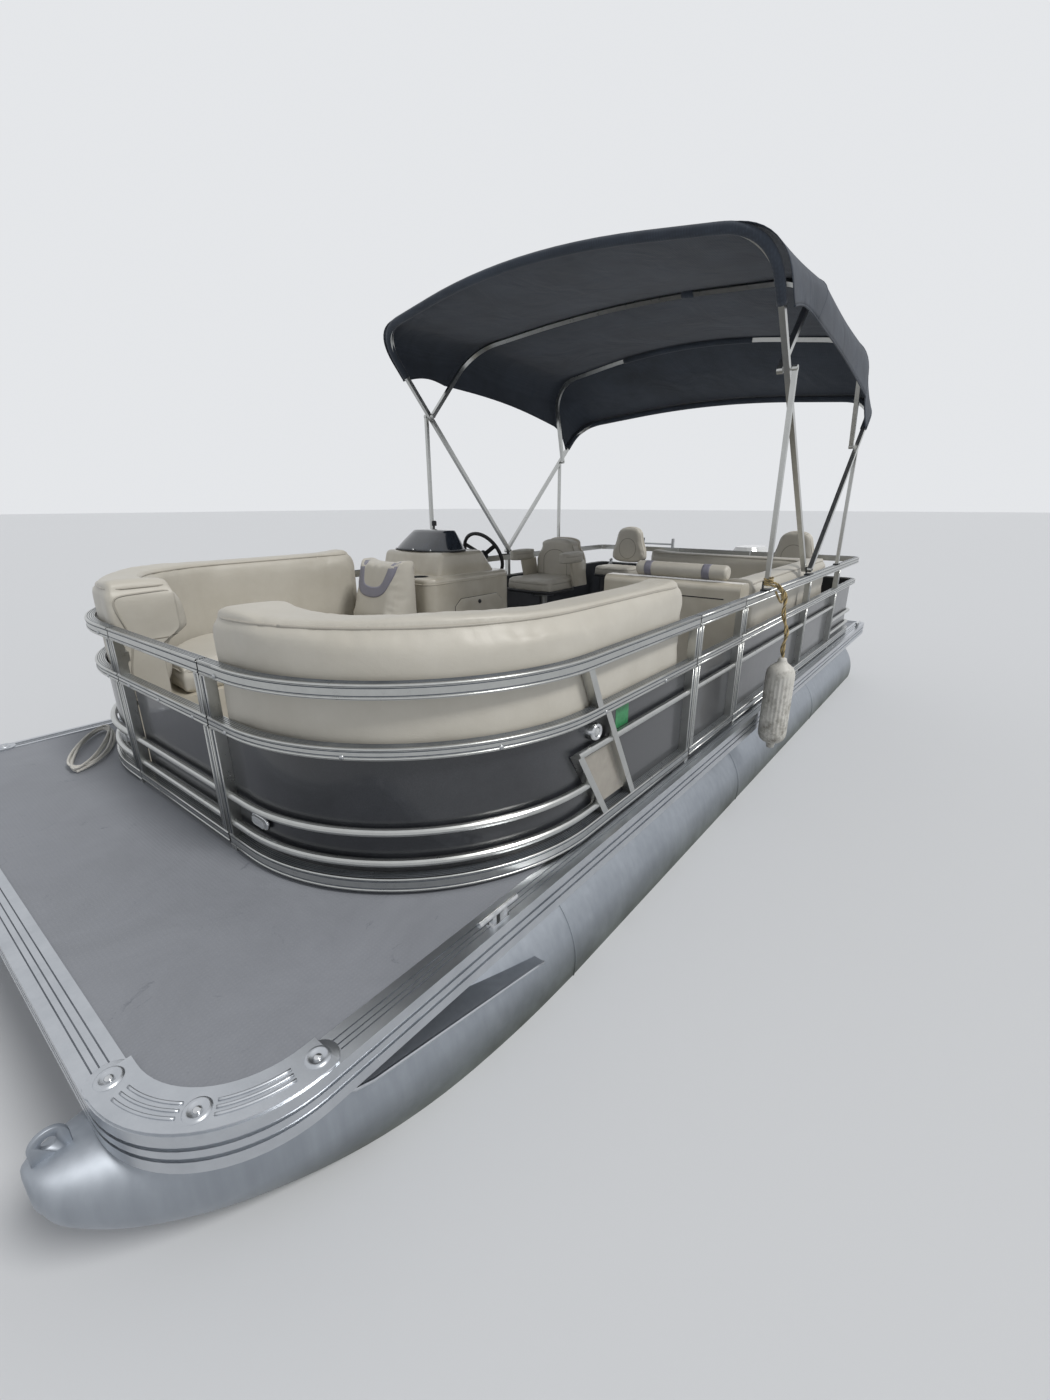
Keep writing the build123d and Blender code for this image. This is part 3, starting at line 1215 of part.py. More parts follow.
with BuildPart() as ladder_upper:
    x, z = LADDER_AXIS
    half = CHANNEL_DEPTH / 2
    for side in (-1, 1):
        web = sorted((side * LADDER_HALF, side * (LADDER_HALF - CHANNEL_WALL)))
        lips = sorted((side * LADDER_HALF, side * (LADDER_HALF - CHANNEL_WIDTH)))
        low, high = z - 16, z + LADDER_LENGTH
        add(block(x - half, x + half, LADDER_Y + web[0], LADDER_Y + web[1], low, high))
        for lip_x in (x - half, x + half - CHANNEL_WALL):
            add(block(lip_x, lip_x + CHANNEL_WALL, LADDER_Y + lips[0], LADDER_Y + lips[1],
                      low, high))
        with Locations(Location((x, LADDER_Y + side * LADDER_HALF, z), (90, 0, 0))):
            Cylinder(LADDER_PIN_R + PIN_PLAY, 40, mode=Mode.SUBTRACT)
    for rung in UPPER_RUNGS:
        rung_x = x + half + RUNG_R - 1
        add(rod((rung_x, LADDER_Y - LADDER_HALF, z + rung),
                (rung_x, LADDER_Y + LADDER_HALF, z + rung), RUNG_R))
save(ladder_upper, "ladder_upper")

with BuildPart() as ladder_lower:
    x, z = LADDER_AXIS
    start = z + LOWER_START
    rail_y = LADDER_HALF - CHANNEL_WALL - SLIDE_PLAY - LOWER_RAIL_R
    for side in (-1, 1):
        y = LADDER_Y + side * rail_y
        add(rod((x, y, start), (x, y, start + LOWER_LENGTH), LOWER_RAIL_R))
    for rung in LOWER_RUNGS:
        add(rod((x, LADDER_Y - rail_y, start + rung), (x, LADDER_Y + rail_y, start + rung), RUNG_R))
save(ladder_lower, "ladder_lower")

# Outboard
TILT_AXIS = (TRANSOM_X - 48.0, 430.0)
STEER_X = TRANSOM_X - 112.0
KINGPIN_R = 15.0
HOUSING_R = 38.0
CLAMP_Y = (76.0, 90.0)
TILT_TUBE_R = 11.0
transom_slope = (TRANSOM_FOOT[0] - TRANSOM_X) / (TRANSOM_TOP - TRANSOM_FOOT[1])

with BuildPart() as outboard_clamp:
    gap = 0.4
    low_z = 60.0
    low_x = TRANSOM_X + transom_slope * (TRANSOM_TOP - low_z) - gap
    for side in (-1, 1):
        add(side_plate((
            (TRANSOM_X + 84, 290.0),
            (TRANSOM_X + 84, TRANSOM_TOP + 30),
            (TRANSOM_X + 10, TRANSOM_TOP + 62),
            (TILT_AXIS[0] - 24, TILT_AXIS[1] + 14),
            (TILT_AXIS[0] - 26, TILT_AXIS[1] - 60),
            (low_x - 46, low_z),
            (low_x, low_z),
            (TRANSOM_X - gap, TRANSOM_TOP + gap),
            (TRANSOM_X + 44 + gap, TRANSOM_TOP + gap),
            (TRANSOM_X + 58, 290.0),
        ), *sorted((side * CLAMP_Y[0], side * CLAMP_Y[1]))))
    tube_end = CLAMP_Y[1] + 6
    add(rod((TILT_AXIS[0], -tube_end, TILT_AXIS[1]), (TILT_AXIS[0], tube_end, TILT_AXIS[1]), TILT_TUBE_R))
save(outboard_clamp, "outboard_clamp")

SWIVEL_HALF = 70.0
with BuildPart() as swivel_bracket:
    with Locations((STEER_X, 0, 70)):
        Cylinder(HOUSING_R, 330, align=(Align.CENTER, Align.CENTER, Align.MIN))
    add(block(STEER_X, TILT_AXIS[0] + 18, -SWIVEL_HALF, SWIVEL_HALF, TILT_AXIS[1] - 60,
              TILT_AXIS[1] + 20))
    add(block(STEER_X, STEER_X + 46, -50, 50, 100, 380))
    with Locations(Location((TILT_AXIS[0], 0, TILT_AXIS[1]), (90, 0, 0))):
        Cylinder(TILT_TUBE_R + PIN_PLAY, 300, mode=Mode.SUBTRACT)
    with Locations((STEER_X, 0, 60)):
        Cylinder(KINGPIN_R + PIN_PLAY, 420, align=(Align.CENTER, Align.CENTER, Align.MIN),
                 mode=Mode.SUBTRACT)
save(swivel_bracket, "swivel_bracket")

PROP_Z = -400.0
PLATE_Z = -215.0
LEG_X = STEER_X - 185.0
HUB_FRONT = LEG_X - 202.0
HUB_LENGTH = 96.0
SHAFT_BORE = 12.3
YOKE_TOP = 456.0
COWL_LOW = 520.0
LEG_SECTIONS = (  # height, length, width
    (PROP_Z + 20, 250.0, 50.0),
    (PLATE_Z, 270.0, 80.0),
    (-120.0, 250.0, 96.0),
    (120.0, 230.0, 130.0),
    (COWL_LOW, 250.0, 180.0),
)
with BuildPart() as outboard_leg:
    with Locations((STEER_X, 0, 30)):
        Cylinder(KINGPIN_R, YOKE_TOP - 30, align=(Align.CENTER, Align.CENTER, Align.MIN))
    add(block(LEG_X, STEER_X + 20, -48, 48, YOKE_TOP - 2, COWL_LOW))
    add(block(LEG_X, STEER_X + 20, -40, 40, 20, 64))
    add(tower([(z, eased_box(LEG_X, length, width, width * 0.45))
               for z, length, width in LEG_SECTIONS]))
    add(block(LEG_X - 270, LEG_X + 120, -92, 92, PLATE_Z - 4, PLATE_Z + 4))
    with BuildSketch(Plane.XZ):
        Polygon((LEG_X + 210, PROP_Z), (LEG_X + 210, PROP_Z + 8), (LEG_X + 190, PROP_Z + 26),
                (LEG_X + 110, PROP_Z + 52), (LEG_X - 150, PROP_Z + 50),
                (LEG_X - 196, PROP_Z + 42), (LEG_X - 196, PROP_Z), align=None)
    revolve(axis=Axis((0, 0, PROP_Z), (1, 0, 0)))
    add(side_plate(((LEG_X + 110, PROP_Z - 40), (LEG_X - 60, PROP_Z - 190), (LEG_X - 130, PROP_Z - 190),
                    (LEG_X - 130, PROP_Z - 40)), -6, 6))
    add(rod((HUB_FRONT + 20, 0, PROP_Z), (HUB_FRONT - HUB_LENGTH - 16, 0, PROP_Z), SHAFT_BORE - 0.3))
save(outboard_leg, "outboard_leg")

COWL_SECTIONS = (  # height, centre behind the steering axis, length, width, corner radius
    (COWL_LOW, 270.0, 540.0, 320.0, 110.0),
    (COWL_LOW + 150, 275.0, 590.0, 372.0, 120.0),
    (COWL_LOW + 470, 278.0, 570.0, 350.0, 115.0),
    (COWL_LOW + 580, 280.0, 430.0, 240.0, 90.0),
)
with BuildPart() as outboard_cowl:
    add(tower([(z, eased_box(STEER_X - back, length, width, corner))
               for z, back, length, width, corner in COWL_SECTIONS]))
save(outboard_cowl, "outboard_cowl")

HUB_R = 42.0
BLADE_R = 162.0
BLADE_PITCH = 35.0
with BuildPart() as propeller:
    with BuildSketch(Plane.YZ.offset(HUB_FRONT - HUB_LENGTH)):
        with Locations((0, PROP_Z)):
            Circle(HUB_R)
            Circle(SHAFT_BORE, mode=Mode.SUBTRACT)
    extrude(amount=HUB_LENGTH)
    for turn in (90, 210, 330):
        centre = (HUB_FRONT - HUB_LENGTH / 2, 0, PROP_Z)
        out = Vector(0, cos(radians(turn)), sin(radians(turn)))
        along = Vector(1, 0, 0).rotate(Axis((0, 0, 0), out), BLADE_PITCH)
        base = Vector(*centre) + out * (HUB_R - 10)
        face = Plane(origin=base, x_dir=along, z_dir=along.cross(out))
        with BuildSketch(face.offset(-3)):
            with BuildLine():
                FilletPolyline((-34, 0), (34, 0), (66, 74), (30, BLADE_R - HUB_R + 4),
                               (-40, BLADE_R - HUB_R - 4), (-62, 60),
                               radius=(0, 0, 30, 34, 34, 30), close=True)
            make_face()
        extrude(amount=6)
save(propeller, "propeller")

# Fender on its rope
FENDER_X = BOW_X - 2930.0
FENDER_Y = BEAM / 2 + 78.0
FENDER_R = 70.0
FENDER_LOW = DECK_TOP - 150.0
FENDER_LENGTH = 430.0
FENDER_RIBS = 20
FENDER_EYE_R = 8.0
FENDER_EYE_OUT = 32.0
with BuildPart() as fender:
    with BuildSketch(Plane.XY.offset(FENDER_LOW)):
        with Locations((FENDER_X, FENDER_Y)):
            RegularPolygon(FENDER_R, FENDER_RIBS)
    extrude(amount=FENDER_LENGTH)
    ends = fender.faces().filter_by(Axis.Z)
    chamfer(ends.edges(), 26)
    for end, out in ((FENDER_LOW + FENDER_LENGTH, 1), (FENDER_LOW, -1)):
        eye = sorted((end - 4 * out, end + FENDER_EYE_OUT * out))
        add(block(FENDER_X - 10, FENDER_X + 10, FENDER_Y - 18, FENDER_Y + 18, *eye))
        with Locations(Location((FENDER_X, FENDER_Y, end + FENDER_EYE_OUT / 2 * out), (0, 90, 0))):
            Cylinder(FENDER_EYE_R, 60, mode=Mode.SUBTRACT)
save(fender, "fender")

ROPE_D = 12.0
FENDER_EYE_TOP = FENDER_LOW + FENDER_LENGTH + FENDER_EYE_OUT
FENDER_ROPE = (
    (JOINT_1[0], REAR_LEG_Y + STRUT_TUBE / 2, RAIL_TOP + 44.0),
    (JOINT_1[0], REAR_LEG_Y + STRUT_TUBE / 2 + 64.0, RAIL_TOP + 44.0),
    (JOINT_1[0] + 14.0, REAR_LEG_Y + 106.0, RAIL_TOP - 66.0),
    (FENDER_X, FENDER_Y, FENDER_EYE_TOP + 95.0),
    (FENDER_X, FENDER_Y, FENDER_EYE_TOP),
)


def corner_radii(points):
    """Radius at each corner of a rope's route, from the shorter run and the turn."""
    radii = []
    for before, here, after in zip(points, points[1:], points[2:]):
        run_in = Vector(*here) - Vector(*before)
        run_out = Vector(*after) - Vector(*here)
        turn = run_in.get_angle(run_out)
        radii.append(0.45 * min(run_in.length, run_out.length) / tan(radians(turn / 2)))
    return radii


with BuildPart() as fender_rope:
    radii = corner_radii(FENDER_ROPE)
    print("fender rope radii", [round(r) for r in radii])
    with BuildLine() as route:
        FilletPolyline(*FENDER_ROPE, radius=radii)
    rope_length = sum(edge.length for edge in route.line.edges())
    print("fender rope length", round(rope_length))
    with BuildSketch(Plane(origin=route.line @ 0, z_dir=route.line % 0)) as strand:
        RegularPolygon(ROPE_D / 2, 8)
    sweep()
    print("fender rope volume over section times length",
          round(fender_rope.part.volume / (strand.sketch.area * rope_length), 4))
save(fender_rope, "fender_rope")

# Loose dock line on the starboard foredeck
COIL_SPOT = (BOW_X - 560.0, 395.0 - BEAM / 2)
COIL_TURN = 62.0
COIL_OUTER = (280.0, 85.0)
COIL_INNER = (210.0, 34.0)
COIL_HEIGHT = 34.0
with BuildPart() as deck_rope:
    with BuildSketch(Plane.XY.offset(DECK_TOP + 0.3)):
        with Locations(Location((*COIL_SPOT, 0), (0, 0, COIL_TURN))):
            Ellipse(*COIL_OUTER)
            Ellipse(*COIL_INNER, mode=Mode.SUBTRACT)
    extrude(amount=COIL_HEIGHT)
save(deck_rope, "deck_rope")
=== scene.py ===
# %% [markdown]
# # Pontoon boat: looks
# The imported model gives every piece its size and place. This lesson adds what the eye takes for real: the
# camera and soft light, finishes with grain and wear, sewn cushions, a stretched canopy, ropes and small trim.
# The model is in metres, +X to the bow, +Y to port, +Z up, and the floor stands in for the water at Z = 0.

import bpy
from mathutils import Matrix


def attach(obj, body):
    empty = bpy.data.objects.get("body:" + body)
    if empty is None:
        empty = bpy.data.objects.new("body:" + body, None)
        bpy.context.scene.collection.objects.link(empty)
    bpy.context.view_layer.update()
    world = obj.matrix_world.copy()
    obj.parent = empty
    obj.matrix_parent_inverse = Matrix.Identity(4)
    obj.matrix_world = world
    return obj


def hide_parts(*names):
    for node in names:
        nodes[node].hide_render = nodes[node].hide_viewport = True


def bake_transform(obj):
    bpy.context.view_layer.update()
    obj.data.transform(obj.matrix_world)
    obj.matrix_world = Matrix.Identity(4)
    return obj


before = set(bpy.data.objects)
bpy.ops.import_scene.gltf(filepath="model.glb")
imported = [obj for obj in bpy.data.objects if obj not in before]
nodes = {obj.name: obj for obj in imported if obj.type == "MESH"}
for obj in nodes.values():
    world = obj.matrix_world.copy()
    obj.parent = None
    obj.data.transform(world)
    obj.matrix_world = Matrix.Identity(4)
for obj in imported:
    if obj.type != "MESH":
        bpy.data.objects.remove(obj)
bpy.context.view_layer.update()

# %% [markdown]
# ## Camera
# The boat was photographed from ahead and to port, from above the rail, with a very wide lens. A camera can be
# aimed by a target or built from its own axes. The axes are used here, because the heading, the dip and the
# slight roll of the lens are each known.

# %% Camera
import math
import bpy
from mathutils import Matrix, Vector

EYE = Vector((3.0935, 2.1085, 1.5539))
HEADING, DIP, ROLL = 3.8132, -0.330, -0.0018
FOCAL_MM, SENSOR_MM, NEAREST = 14.80, 36.0, 0.05
ahead = Vector((math.cos(HEADING) * math.cos(DIP), math.sin(HEADING) * math.cos(DIP), math.sin(DIP)))
level = Vector((math.sin(HEADING), -math.cos(HEADING), 0.0))
over = level.cross(ahead)
across = level * math.cos(ROLL) + over * math.sin(ROLL)
upward = over * math.cos(ROLL) - level * math.sin(ROLL)
lens = bpy.data.cameras.new("camera")
lens.lens, lens.sensor_width, lens.clip_start = FOCAL_MM, SENSOR_MM, NEAREST
camera = bpy.data.objects.new("camera", lens)
bpy.context.scene.collection.objects.link(camera)
camera.matrix_world = Matrix.Translation(EYE) @ Matrix((across, upward, -ahead)).transposed().to_4x4()
bpy.context.scene.camera = camera
print("camera at", tuple(EYE), "looks along", tuple(round(v, 3) for v in ahead))

# %% [markdown]
# ## Colours and nodes
# Paint charts give colours as sRGB hex codes, while shaders work in linear light, so one function converts.
# Materials are node trees. One small function adds a node, fills its settings and joins its links. Most real
# finishes need little more: a cloud pattern in the tone, the same pattern in the dullness, a fine relief.

# %% Colour and node helpers
def linear(code):
    """An sRGB hex colour as linear RGBA."""
    shades = [int(code[i:i + 2], 16) / 255 for i in (1, 3, 5)]
    return tuple(s / 12.92 if s <= 0.04045 else ((s + 0.055) / 1.055) ** 2.4 for s in shades) + (1.0,)


def join(tree, source, socket):
    """Feeds a socket from an output, or from a node's first output."""
    tree.links.new(source.outputs[0] if isinstance(source, bpy.types.Node) else source, socket)


def add_node(tree, kind, settings=None, links=None, stops=(), **options):
    """A new node: options are its own fields, settings its sockets' values, links what feeds its sockets."""
    made = tree.nodes.new(kind)
    for field, value in options.items():
        setattr(made, field, value)
    for socket, value in (settings or {}).items():
        made.inputs[socket].default_value = value
    for socket, source in (links or {}).items():
        join(tree, source, made.inputs[socket])
    for index, (place, code) in enumerate(stops):
        ramp = made.color_ramp.elements
        stop = ramp[index] if index < len(ramp) else ramp.new(place)
        stop.position, stop.color = place, linear(code)
    return made


def start_finish(name, **sockets):
    """A material with values on its shader's own sockets; gives it, its tree, its shader, its coordinates."""
    made = bpy.data.materials.new(name)
    made.use_nodes = True
    tree = made.node_tree
    shader = tree.nodes["Principled BSDF"]
    for socket, value in sockets.items():
        shader.inputs[socket.replace("_", " ")].default_value = value
    return made, tree, shader, add_node(tree, "ShaderNodeTexCoord").outputs["Object"]


def noise(tree, place, scale, detail, roughness=0.5, distortion=0.0):
    """A cloud pattern whose largest features lie about 1 / scale metres apart."""
    return add_node(tree, "ShaderNodeTexNoise", {"Scale": scale, "Detail": detail, "Roughness": roughness,
                                                 "Distortion": distortion}, {"Vector": place})


def tones(tree, source, codes, at=(0.3, 0.7)):
    """A pattern turned into colours between two codes."""
    return add_node(tree, "ShaderNodeValToRGB", links={"Fac": source}, stops=tuple(zip(at, codes)))


def between(tree, source, low, high, start=0.0, end=1.0):
    """A pattern's values from start to end, stretched to run from low to high."""
    return add_node(tree, "ShaderNodeMapRange", {"From Min": start, "From Max": end, "To Min": low, "To Max": high},
                    {"Value": source})


def bump(tree, source, strength, distance, under=None):
    """A relief some metres high from a pattern, over another relief."""
    return add_node(tree, "ShaderNodeBump", {"Strength": strength, "Distance": distance},
                    {"Height": source, **({} if under is None else {"Normal": under})})


def dress(tree, shader, colour=None, dull=None, relief=None):
    """Joins colour, roughness and relief to the shader."""
    for source, socket in ((colour, "Base Color"), (dull, "Roughness"), (relief, "Normal")):
        if source is not None:
            join(tree, source, shader.inputs[socket])


def mottled(name, clouds, codes, dull=None, relief=None, grain=None, at=(0.3, 0.7), **sockets):
    """A finish led by one cloud pattern (scale, detail, roughness); its relief can have a grain of its own."""
    made, tree, shader, place = start_finish(name, **sockets)
    pattern = noise(tree, place, *clouds)
    dress(tree, shader, tones(tree, pattern, codes, at), dull and between(tree, pattern, *dull),
          relief and bump(tree, noise(tree, place, *grain) if grain else pattern, *relief))
    return made


print("mid grey in linear light", round(linear("#808080")[0], 3))

# %% [markdown]
# ## Stage and light
# Studio shots of boats use a bright sweep of floor and a big soft source. The floor lies at the waterline, so
# the tubes rise out of it as out of calm water. A wide sun lamp gives one soft key from port and astern, like
# the real low sun, and the pale world fills the rest. The world shows pale to the camera, to metal and glass.

# %% World
FILL, BACKDROP = 0.50, 0.88
world = bpy.data.worlds.new("studio")
bpy.context.scene.world = world
world.use_nodes = True
air = world.node_tree
backdrop = air.nodes["Background"]
backdrop.inputs["Color"].default_value = linear("#f2f4f7")
rays = add_node(air, "ShaderNodeLightPath").outputs
seen = add_node(air, "ShaderNodeMath", links={0: rays["Is Camera Ray"], 1: rays["Is Glossy Ray"]},
                operation="MAXIMUM")
shown = add_node(air, "ShaderNodeMath", links={0: seen, 1: rays["Is Transmission Ray"]}, operation="MAXIMUM")
join(air, between(air, shown, FILL, BACKDROP), backdrop.inputs["Strength"])
bpy.context.scene.view_settings.view_transform = "Standard"
print("world fill", FILL, "backdrop", BACKDROP)

# %% Key lamp
key = bpy.data.lights.new("key", "SUN")
key.energy, key.angle, key.color = 1.75, math.radians(14), (1.0, 0.985, 0.96)
key_lamp = bpy.data.objects.new("key", key)
bpy.context.scene.collection.objects.link(key_lamp)
key_lamp.rotation_euler = Vector((-0.10, 0.62, 0.78)).to_track_quat("Z", "Y").to_euler()
print("key lamp", key.energy)

# %% Floor
REACH = 120.0
floor_mesh = bpy.data.meshes.new("floor")
floor_mesh.from_pydata([(-REACH, -REACH, 0), (REACH, -REACH, 0), (REACH, REACH, 0), (-REACH, REACH, 0)], [],
                       [(0, 1, 2, 3)])
floor = bpy.data.objects.new("floor", floor_mesh)
bpy.context.scene.collection.objects.link(floor)
floor_mesh.materials.append(start_finish("matt studio paper", Roughness=0.9, Base_Color=linear("#d9dbde"))[0])
print("floor at the waterline")

# %% [markdown]
# ## Aluminium
# A pontoon boat is mostly aluminium, and its grades look different. The tubes are bare rolled sheet, dulled by
# weather and stained near the water. The edge trim and fence rails are extrusions with a satin anodised skin
# that still shows long soft streaks. All are metals: metallic 1, default IOR, and only tone and roughness vary.

# %% Rolled hull sheet
hull_sheet, tree, shader, place = start_finish("weathered rolled aluminium sheet", Metallic=1.0)
# Oxide clouds some 150 mm across, streaks of runoff 25 mm wide that are long up and down
clouds = noise(tree, place, 6.0, 7.0, 0.62)
squeeze = add_node(tree, "ShaderNodeMapping", {"Scale": (38.0, 38.0, 3.0)}, {"Vector": place})
both = add_node(tree, "ShaderNodeMath", {2: 0.35}, {0: noise(tree, squeeze, 1.0, 4.0), 1: clouds},
                operation="MULTIPLY_ADD")
split = add_node(tree, "ShaderNodeSeparateXYZ", links={"Vector": place})
# The stain fades from 20 to 170 mm above the water
wet = between(tree, split.outputs["Z"], 0.0, 1.0, 0.02, 0.17)
# The dry sheet's tones are its weathered grey, set a little darker as painted shade of tubes lying low by the water
coat = add_node(tree, "ShaderNodeMix", links={0: wet, 6: tones(tree, clouds, ("#4b4f49", "#7d8380")),
                                              7: tones(tree, both, ("#8e949b", "#adb2b9"), (0.20, 0.95))},
                data_type="RGBA")
dress(tree, shader, coat.outputs[2], between(tree, clouds, 0.46, 0.56),
      bump(tree, noise(tree, place, 3.2, 2.0), 0.18, 0.006))
print(hull_sheet.name)

# %% Extruded and welded aluminium
# Grime gathers in soft patches on the trim, over die lines a few millimetres apart
trim_metal = mottled("satin extruded aluminium trim", (9.0, 8.0, 0.7), ("#b4b8bd", "#cccfd3"), (0.27, 0.36),
                     (0.15, 0.0006), (260.0, 3.0), (0.20, 0.80), Metallic=1.0)
# The anodic film is even and slightly warm, with water spots 5 to 20 mm across
fence_metal = mottled("satin anodised aluminium tube", (24.0, 9.0, 0.75), ("#b3b4b2", "#c6c7c4"), (0.24, 0.33),
                      at=(0.20, 0.80), Metallic=1.0)
# The grooves' dark tone is painted shade, not a colour of the metal
groove_shade = mottled("painted shade in an extrusion groove", (14.0, 4.0), ("#4b5057", "#666b72"), (0.5, 0.7),
                       Metallic=0.5)
pod_paint = mottled("grey painted aluminium plate", (11.0, 6.0), ("#7c8185", "#a5a9ac"), (0.40, 0.60),
                    Metallic=0.35)
print(trim_metal.name, fence_metal.name, groove_shade.name, pod_paint.name)

# %% [markdown]
# ## Steel, plastic and paint
# Cleats and lights are polished stainless, ladder and chair posts brushed stainless. The dash hood is smoked
# acrylic over a moulded shell, knobs and wheel are black ABS and soft PVC, and the fence skins are thin
# aluminium coated in charcoal or silver beige. Coatings are dielectric: IOR near 1.5 and a clear top layer.

# %% Polished and brushed stainless
bright_steel = mottled("polished stainless steel", (60.0, 5.0), ("#bfc1c3", "#dcddde"), (0.08, 0.2), Metallic=1.0)
satin_steel, tree, shader, place = start_finish("brushed stainless steel", Metallic=1.0)
# Brush lines about a millimetre apart run up and down for some 45 mm
stretch = add_node(tree, "ShaderNodeMapping", {"Scale": (900.0, 900.0, 22.0)}, {"Vector": place})
brush = noise(tree, stretch, 1.0, 3.0)
dress(tree, shader, tones(tree, brush, ("#9b9d9f", "#c2c4c5")), between(tree, brush, 0.26, 0.42))
print(bright_steel.name, satin_steel.name)

# %% Charcoal and beige skins
charcoal_skin, tree, shader, place = start_finish("charcoal coated aluminium skin", IOR=1.5, Coat_Weight=0.6,
                                                  Coat_Roughness=0.08)
# Dust lies in streaks some 40 mm apart; a fine metallic fleck of 2 mm is drawn coarser than life
dust = noise(tree, place, 7.0, 9.0, 0.7)
mixed = add_node(tree, "ShaderNodeMath", {2: 0.08}, {0: dust, 1: noise(tree, place, 420.0, 2.0)},
                 operation="MULTIPLY_ADD")
dress(tree, shader, tones(tree, mixed, ("#232529", "#3a3c41"), (0.22, 0.62)), between(tree, dust, 0.22, 0.44))
beige_skin = mottled("silver beige coated aluminium skin", (10.0, 8.0, 0.7), ("#928c82", "#aba59a"), (0.3, 0.5),
                     IOR=1.5, Metallic=0.3, Coat_Weight=0.4, Coat_Roughness=0.15)
print(charcoal_skin.name, beige_skin.name)

# %% Moulded shells
gel_coat = mottled("cream gel coat", (8.0, 6.0), ("#c3bcac", "#d3cdbf"), (0.24, 0.38), IOR=1.5, Coat_Weight=0.5,
                   Coat_Roughness=0.1)
smoked_acrylic = mottled("smoked acrylic", (14.0, 7.0), ("#23282f", "#363d47"), (0.1, 0.24), IOR=1.49,
                         Coat_Weight=0.8, Coat_Roughness=0.05)
black_abs = mottled("moulded black ABS", (700.0, 2.0), ("#141518", "#26282c"), (0.42, 0.6), (0.3, 0.0004), IOR=1.54)
soft_pvc, tree, shader, place = start_finish("black soft PVC", IOR=1.52)
grip = add_node(tree, "ShaderNodeTexVoronoi", {"Scale": 380.0}, {"Vector": place})
dress(tree, shader, tones(tree, grip, ("#101113", "#232427"), (0.1, 0.7)), between(tree, grip, 0.55, 0.75),
      bump(tree, grip, 0.4, 0.0005))
print(gel_coat.name, smoked_acrylic.name, black_abs.name, soft_pvc.name)

# %% Engine paints, lamp lens and decal film
engine_white = mottled("gloss white engine enamel", (34.0, 6.0), ("#c6c7c6", "#cfd0cf"), (0.18, 0.32), IOR=1.5,
                       Coat_Weight=0.9, Coat_Roughness=0.06)
engine_grey = mottled("satin grey engine enamel", (45.0, 10.0, 0.8), ("#33363a", "#4d5156"), (0.35, 0.5),
                      at=(0.35, 0.68), IOR=1.5, Metallic=0.2)
lens_glass = mottled("frosted lamp lens", (180.0, 3.0), ("#c9ccce", "#dcdfe0"), (0.1, 0.25), IOR=1.49,
                     Transmission_Weight=0.35, Coat_Weight=0.5)
green_film = mottled("sun-faded green vinyl film", (90.0, 6.0), ("#2f7a4c", "#3d8f5c"), IOR=1.5, Roughness=0.45)
print(engine_white.name, engine_grey.name, lens_glass.name, green_film.name)

# %% [markdown]
# ## Vinyl, cloth and rope
# Marine seats are sewn from embossed PVC over foam: a leather-like grain of about 1.5 mm, drawn at 3 mm here,
# soft sheen, and dark lines in inset seams and folds that are painted shade. The deck is a woven vinyl sheet with
# threads 2 mm apart, drawn at 5 mm. The canopy is solution-dyed acrylic, a plain weave. The ropes are laid polyester.

# %% Ivory and grey seat vinyl
def vinyl(name, *codes):
    """Embossed seat vinyl between two tones, with slack puckers over its grain."""
    made, tree, shader, place = start_finish(name, IOR=1.52, Sheen_Weight=0.08)
    age = noise(tree, place, 5.0, 8.0, 0.65)
    grain = add_node(tree, "ShaderNodeTexVoronoi", {"Scale": 330.0}, {"Vector": place})
    dress(tree, shader, tones(tree, age, codes, (0.15, 0.85)), between(tree, age, 0.36, 0.54),
          bump(tree, noise(tree, place, 7.5, 3.0, distortion=0.8), 0.30, 0.008, bump(tree, grain, 0.22, 0.0006)))
    return made


ivory_vinyl = vinyl("ivory embossed vinyl", "#b9b4a8", "#cbc7bd")
grey_vinyl = vinyl("grey violet embossed vinyl", "#777682", "#8b8a97")
piping_vinyl = vinyl("ivory piping vinyl", "#a39e93", "#b4afa5")
# The inset seams are a darker vinyl: painted shade in the seam
stitch_shade_vinyl = vinyl("stitching darkened for painted shade", "#7d786d", "#918b80")
print(ivory_vinyl.name, grey_vinyl.name)

# %% Deck covering and canopy cloth
def woven(tree, place, scale, distortion):
    """Threads that cross at right angles."""
    warp, weft = (add_node(tree, "ShaderNodeTexWave", {"Scale": scale, "Distortion": distortion},
                           {"Vector": place}, bands_direction=way).outputs["Fac"] for way in "XY")
    return add_node(tree, "ShaderNodeMath", links={0: warp, 1: weft}, operation="MULTIPLY")


deck_weave, tree, shader, place = start_finish("woven vinyl deck sheet", IOR=1.5)
weave = woven(tree, place, 31.0, 0.4)
scuff = noise(tree, place, 3.5, 10.0, 0.72, 0.6)
mixed = add_node(tree, "ShaderNodeMath", {1: 0.10}, {0: weave, 2: scuff}, operation="MULTIPLY_ADD")
marks = between(tree, noise(tree, place, 5.5, 12.0, 0.8, 1.6), 0.0, 1.0, 0.60, 0.74)
# The sheet's grey is drawn a little cool: partly its own colour, partly painted blue sky light
scuffed = add_node(tree, "ShaderNodeMix", {7: linear("#5b5f67")},
                   {0: marks, 6: tones(tree, mixed, ("#808389", "#95989f"), (0.15, 0.95))}, data_type="RGBA")
dress(tree, shader, scuffed.outputs[2], between(tree, scuff, 0.5, 0.72), bump(tree, weave, 0.35, 0.001))

canopy_acrylic, tree, shader, place = start_finish("charcoal woven acrylic", IOR=1.46, Roughness=0.85,
                                                   Sheen_Weight=0.15)
# Yarns 0.8 mm apart are drawn at 6 mm
weave = woven(tree, place, 26.0, 0.3)
mixed = add_node(tree, "ShaderNodeMath", {1: 0.14}, {0: weave, 2: noise(tree, place, 2.2, 8.0, 0.68)},
                 operation="MULTIPLY_ADD")
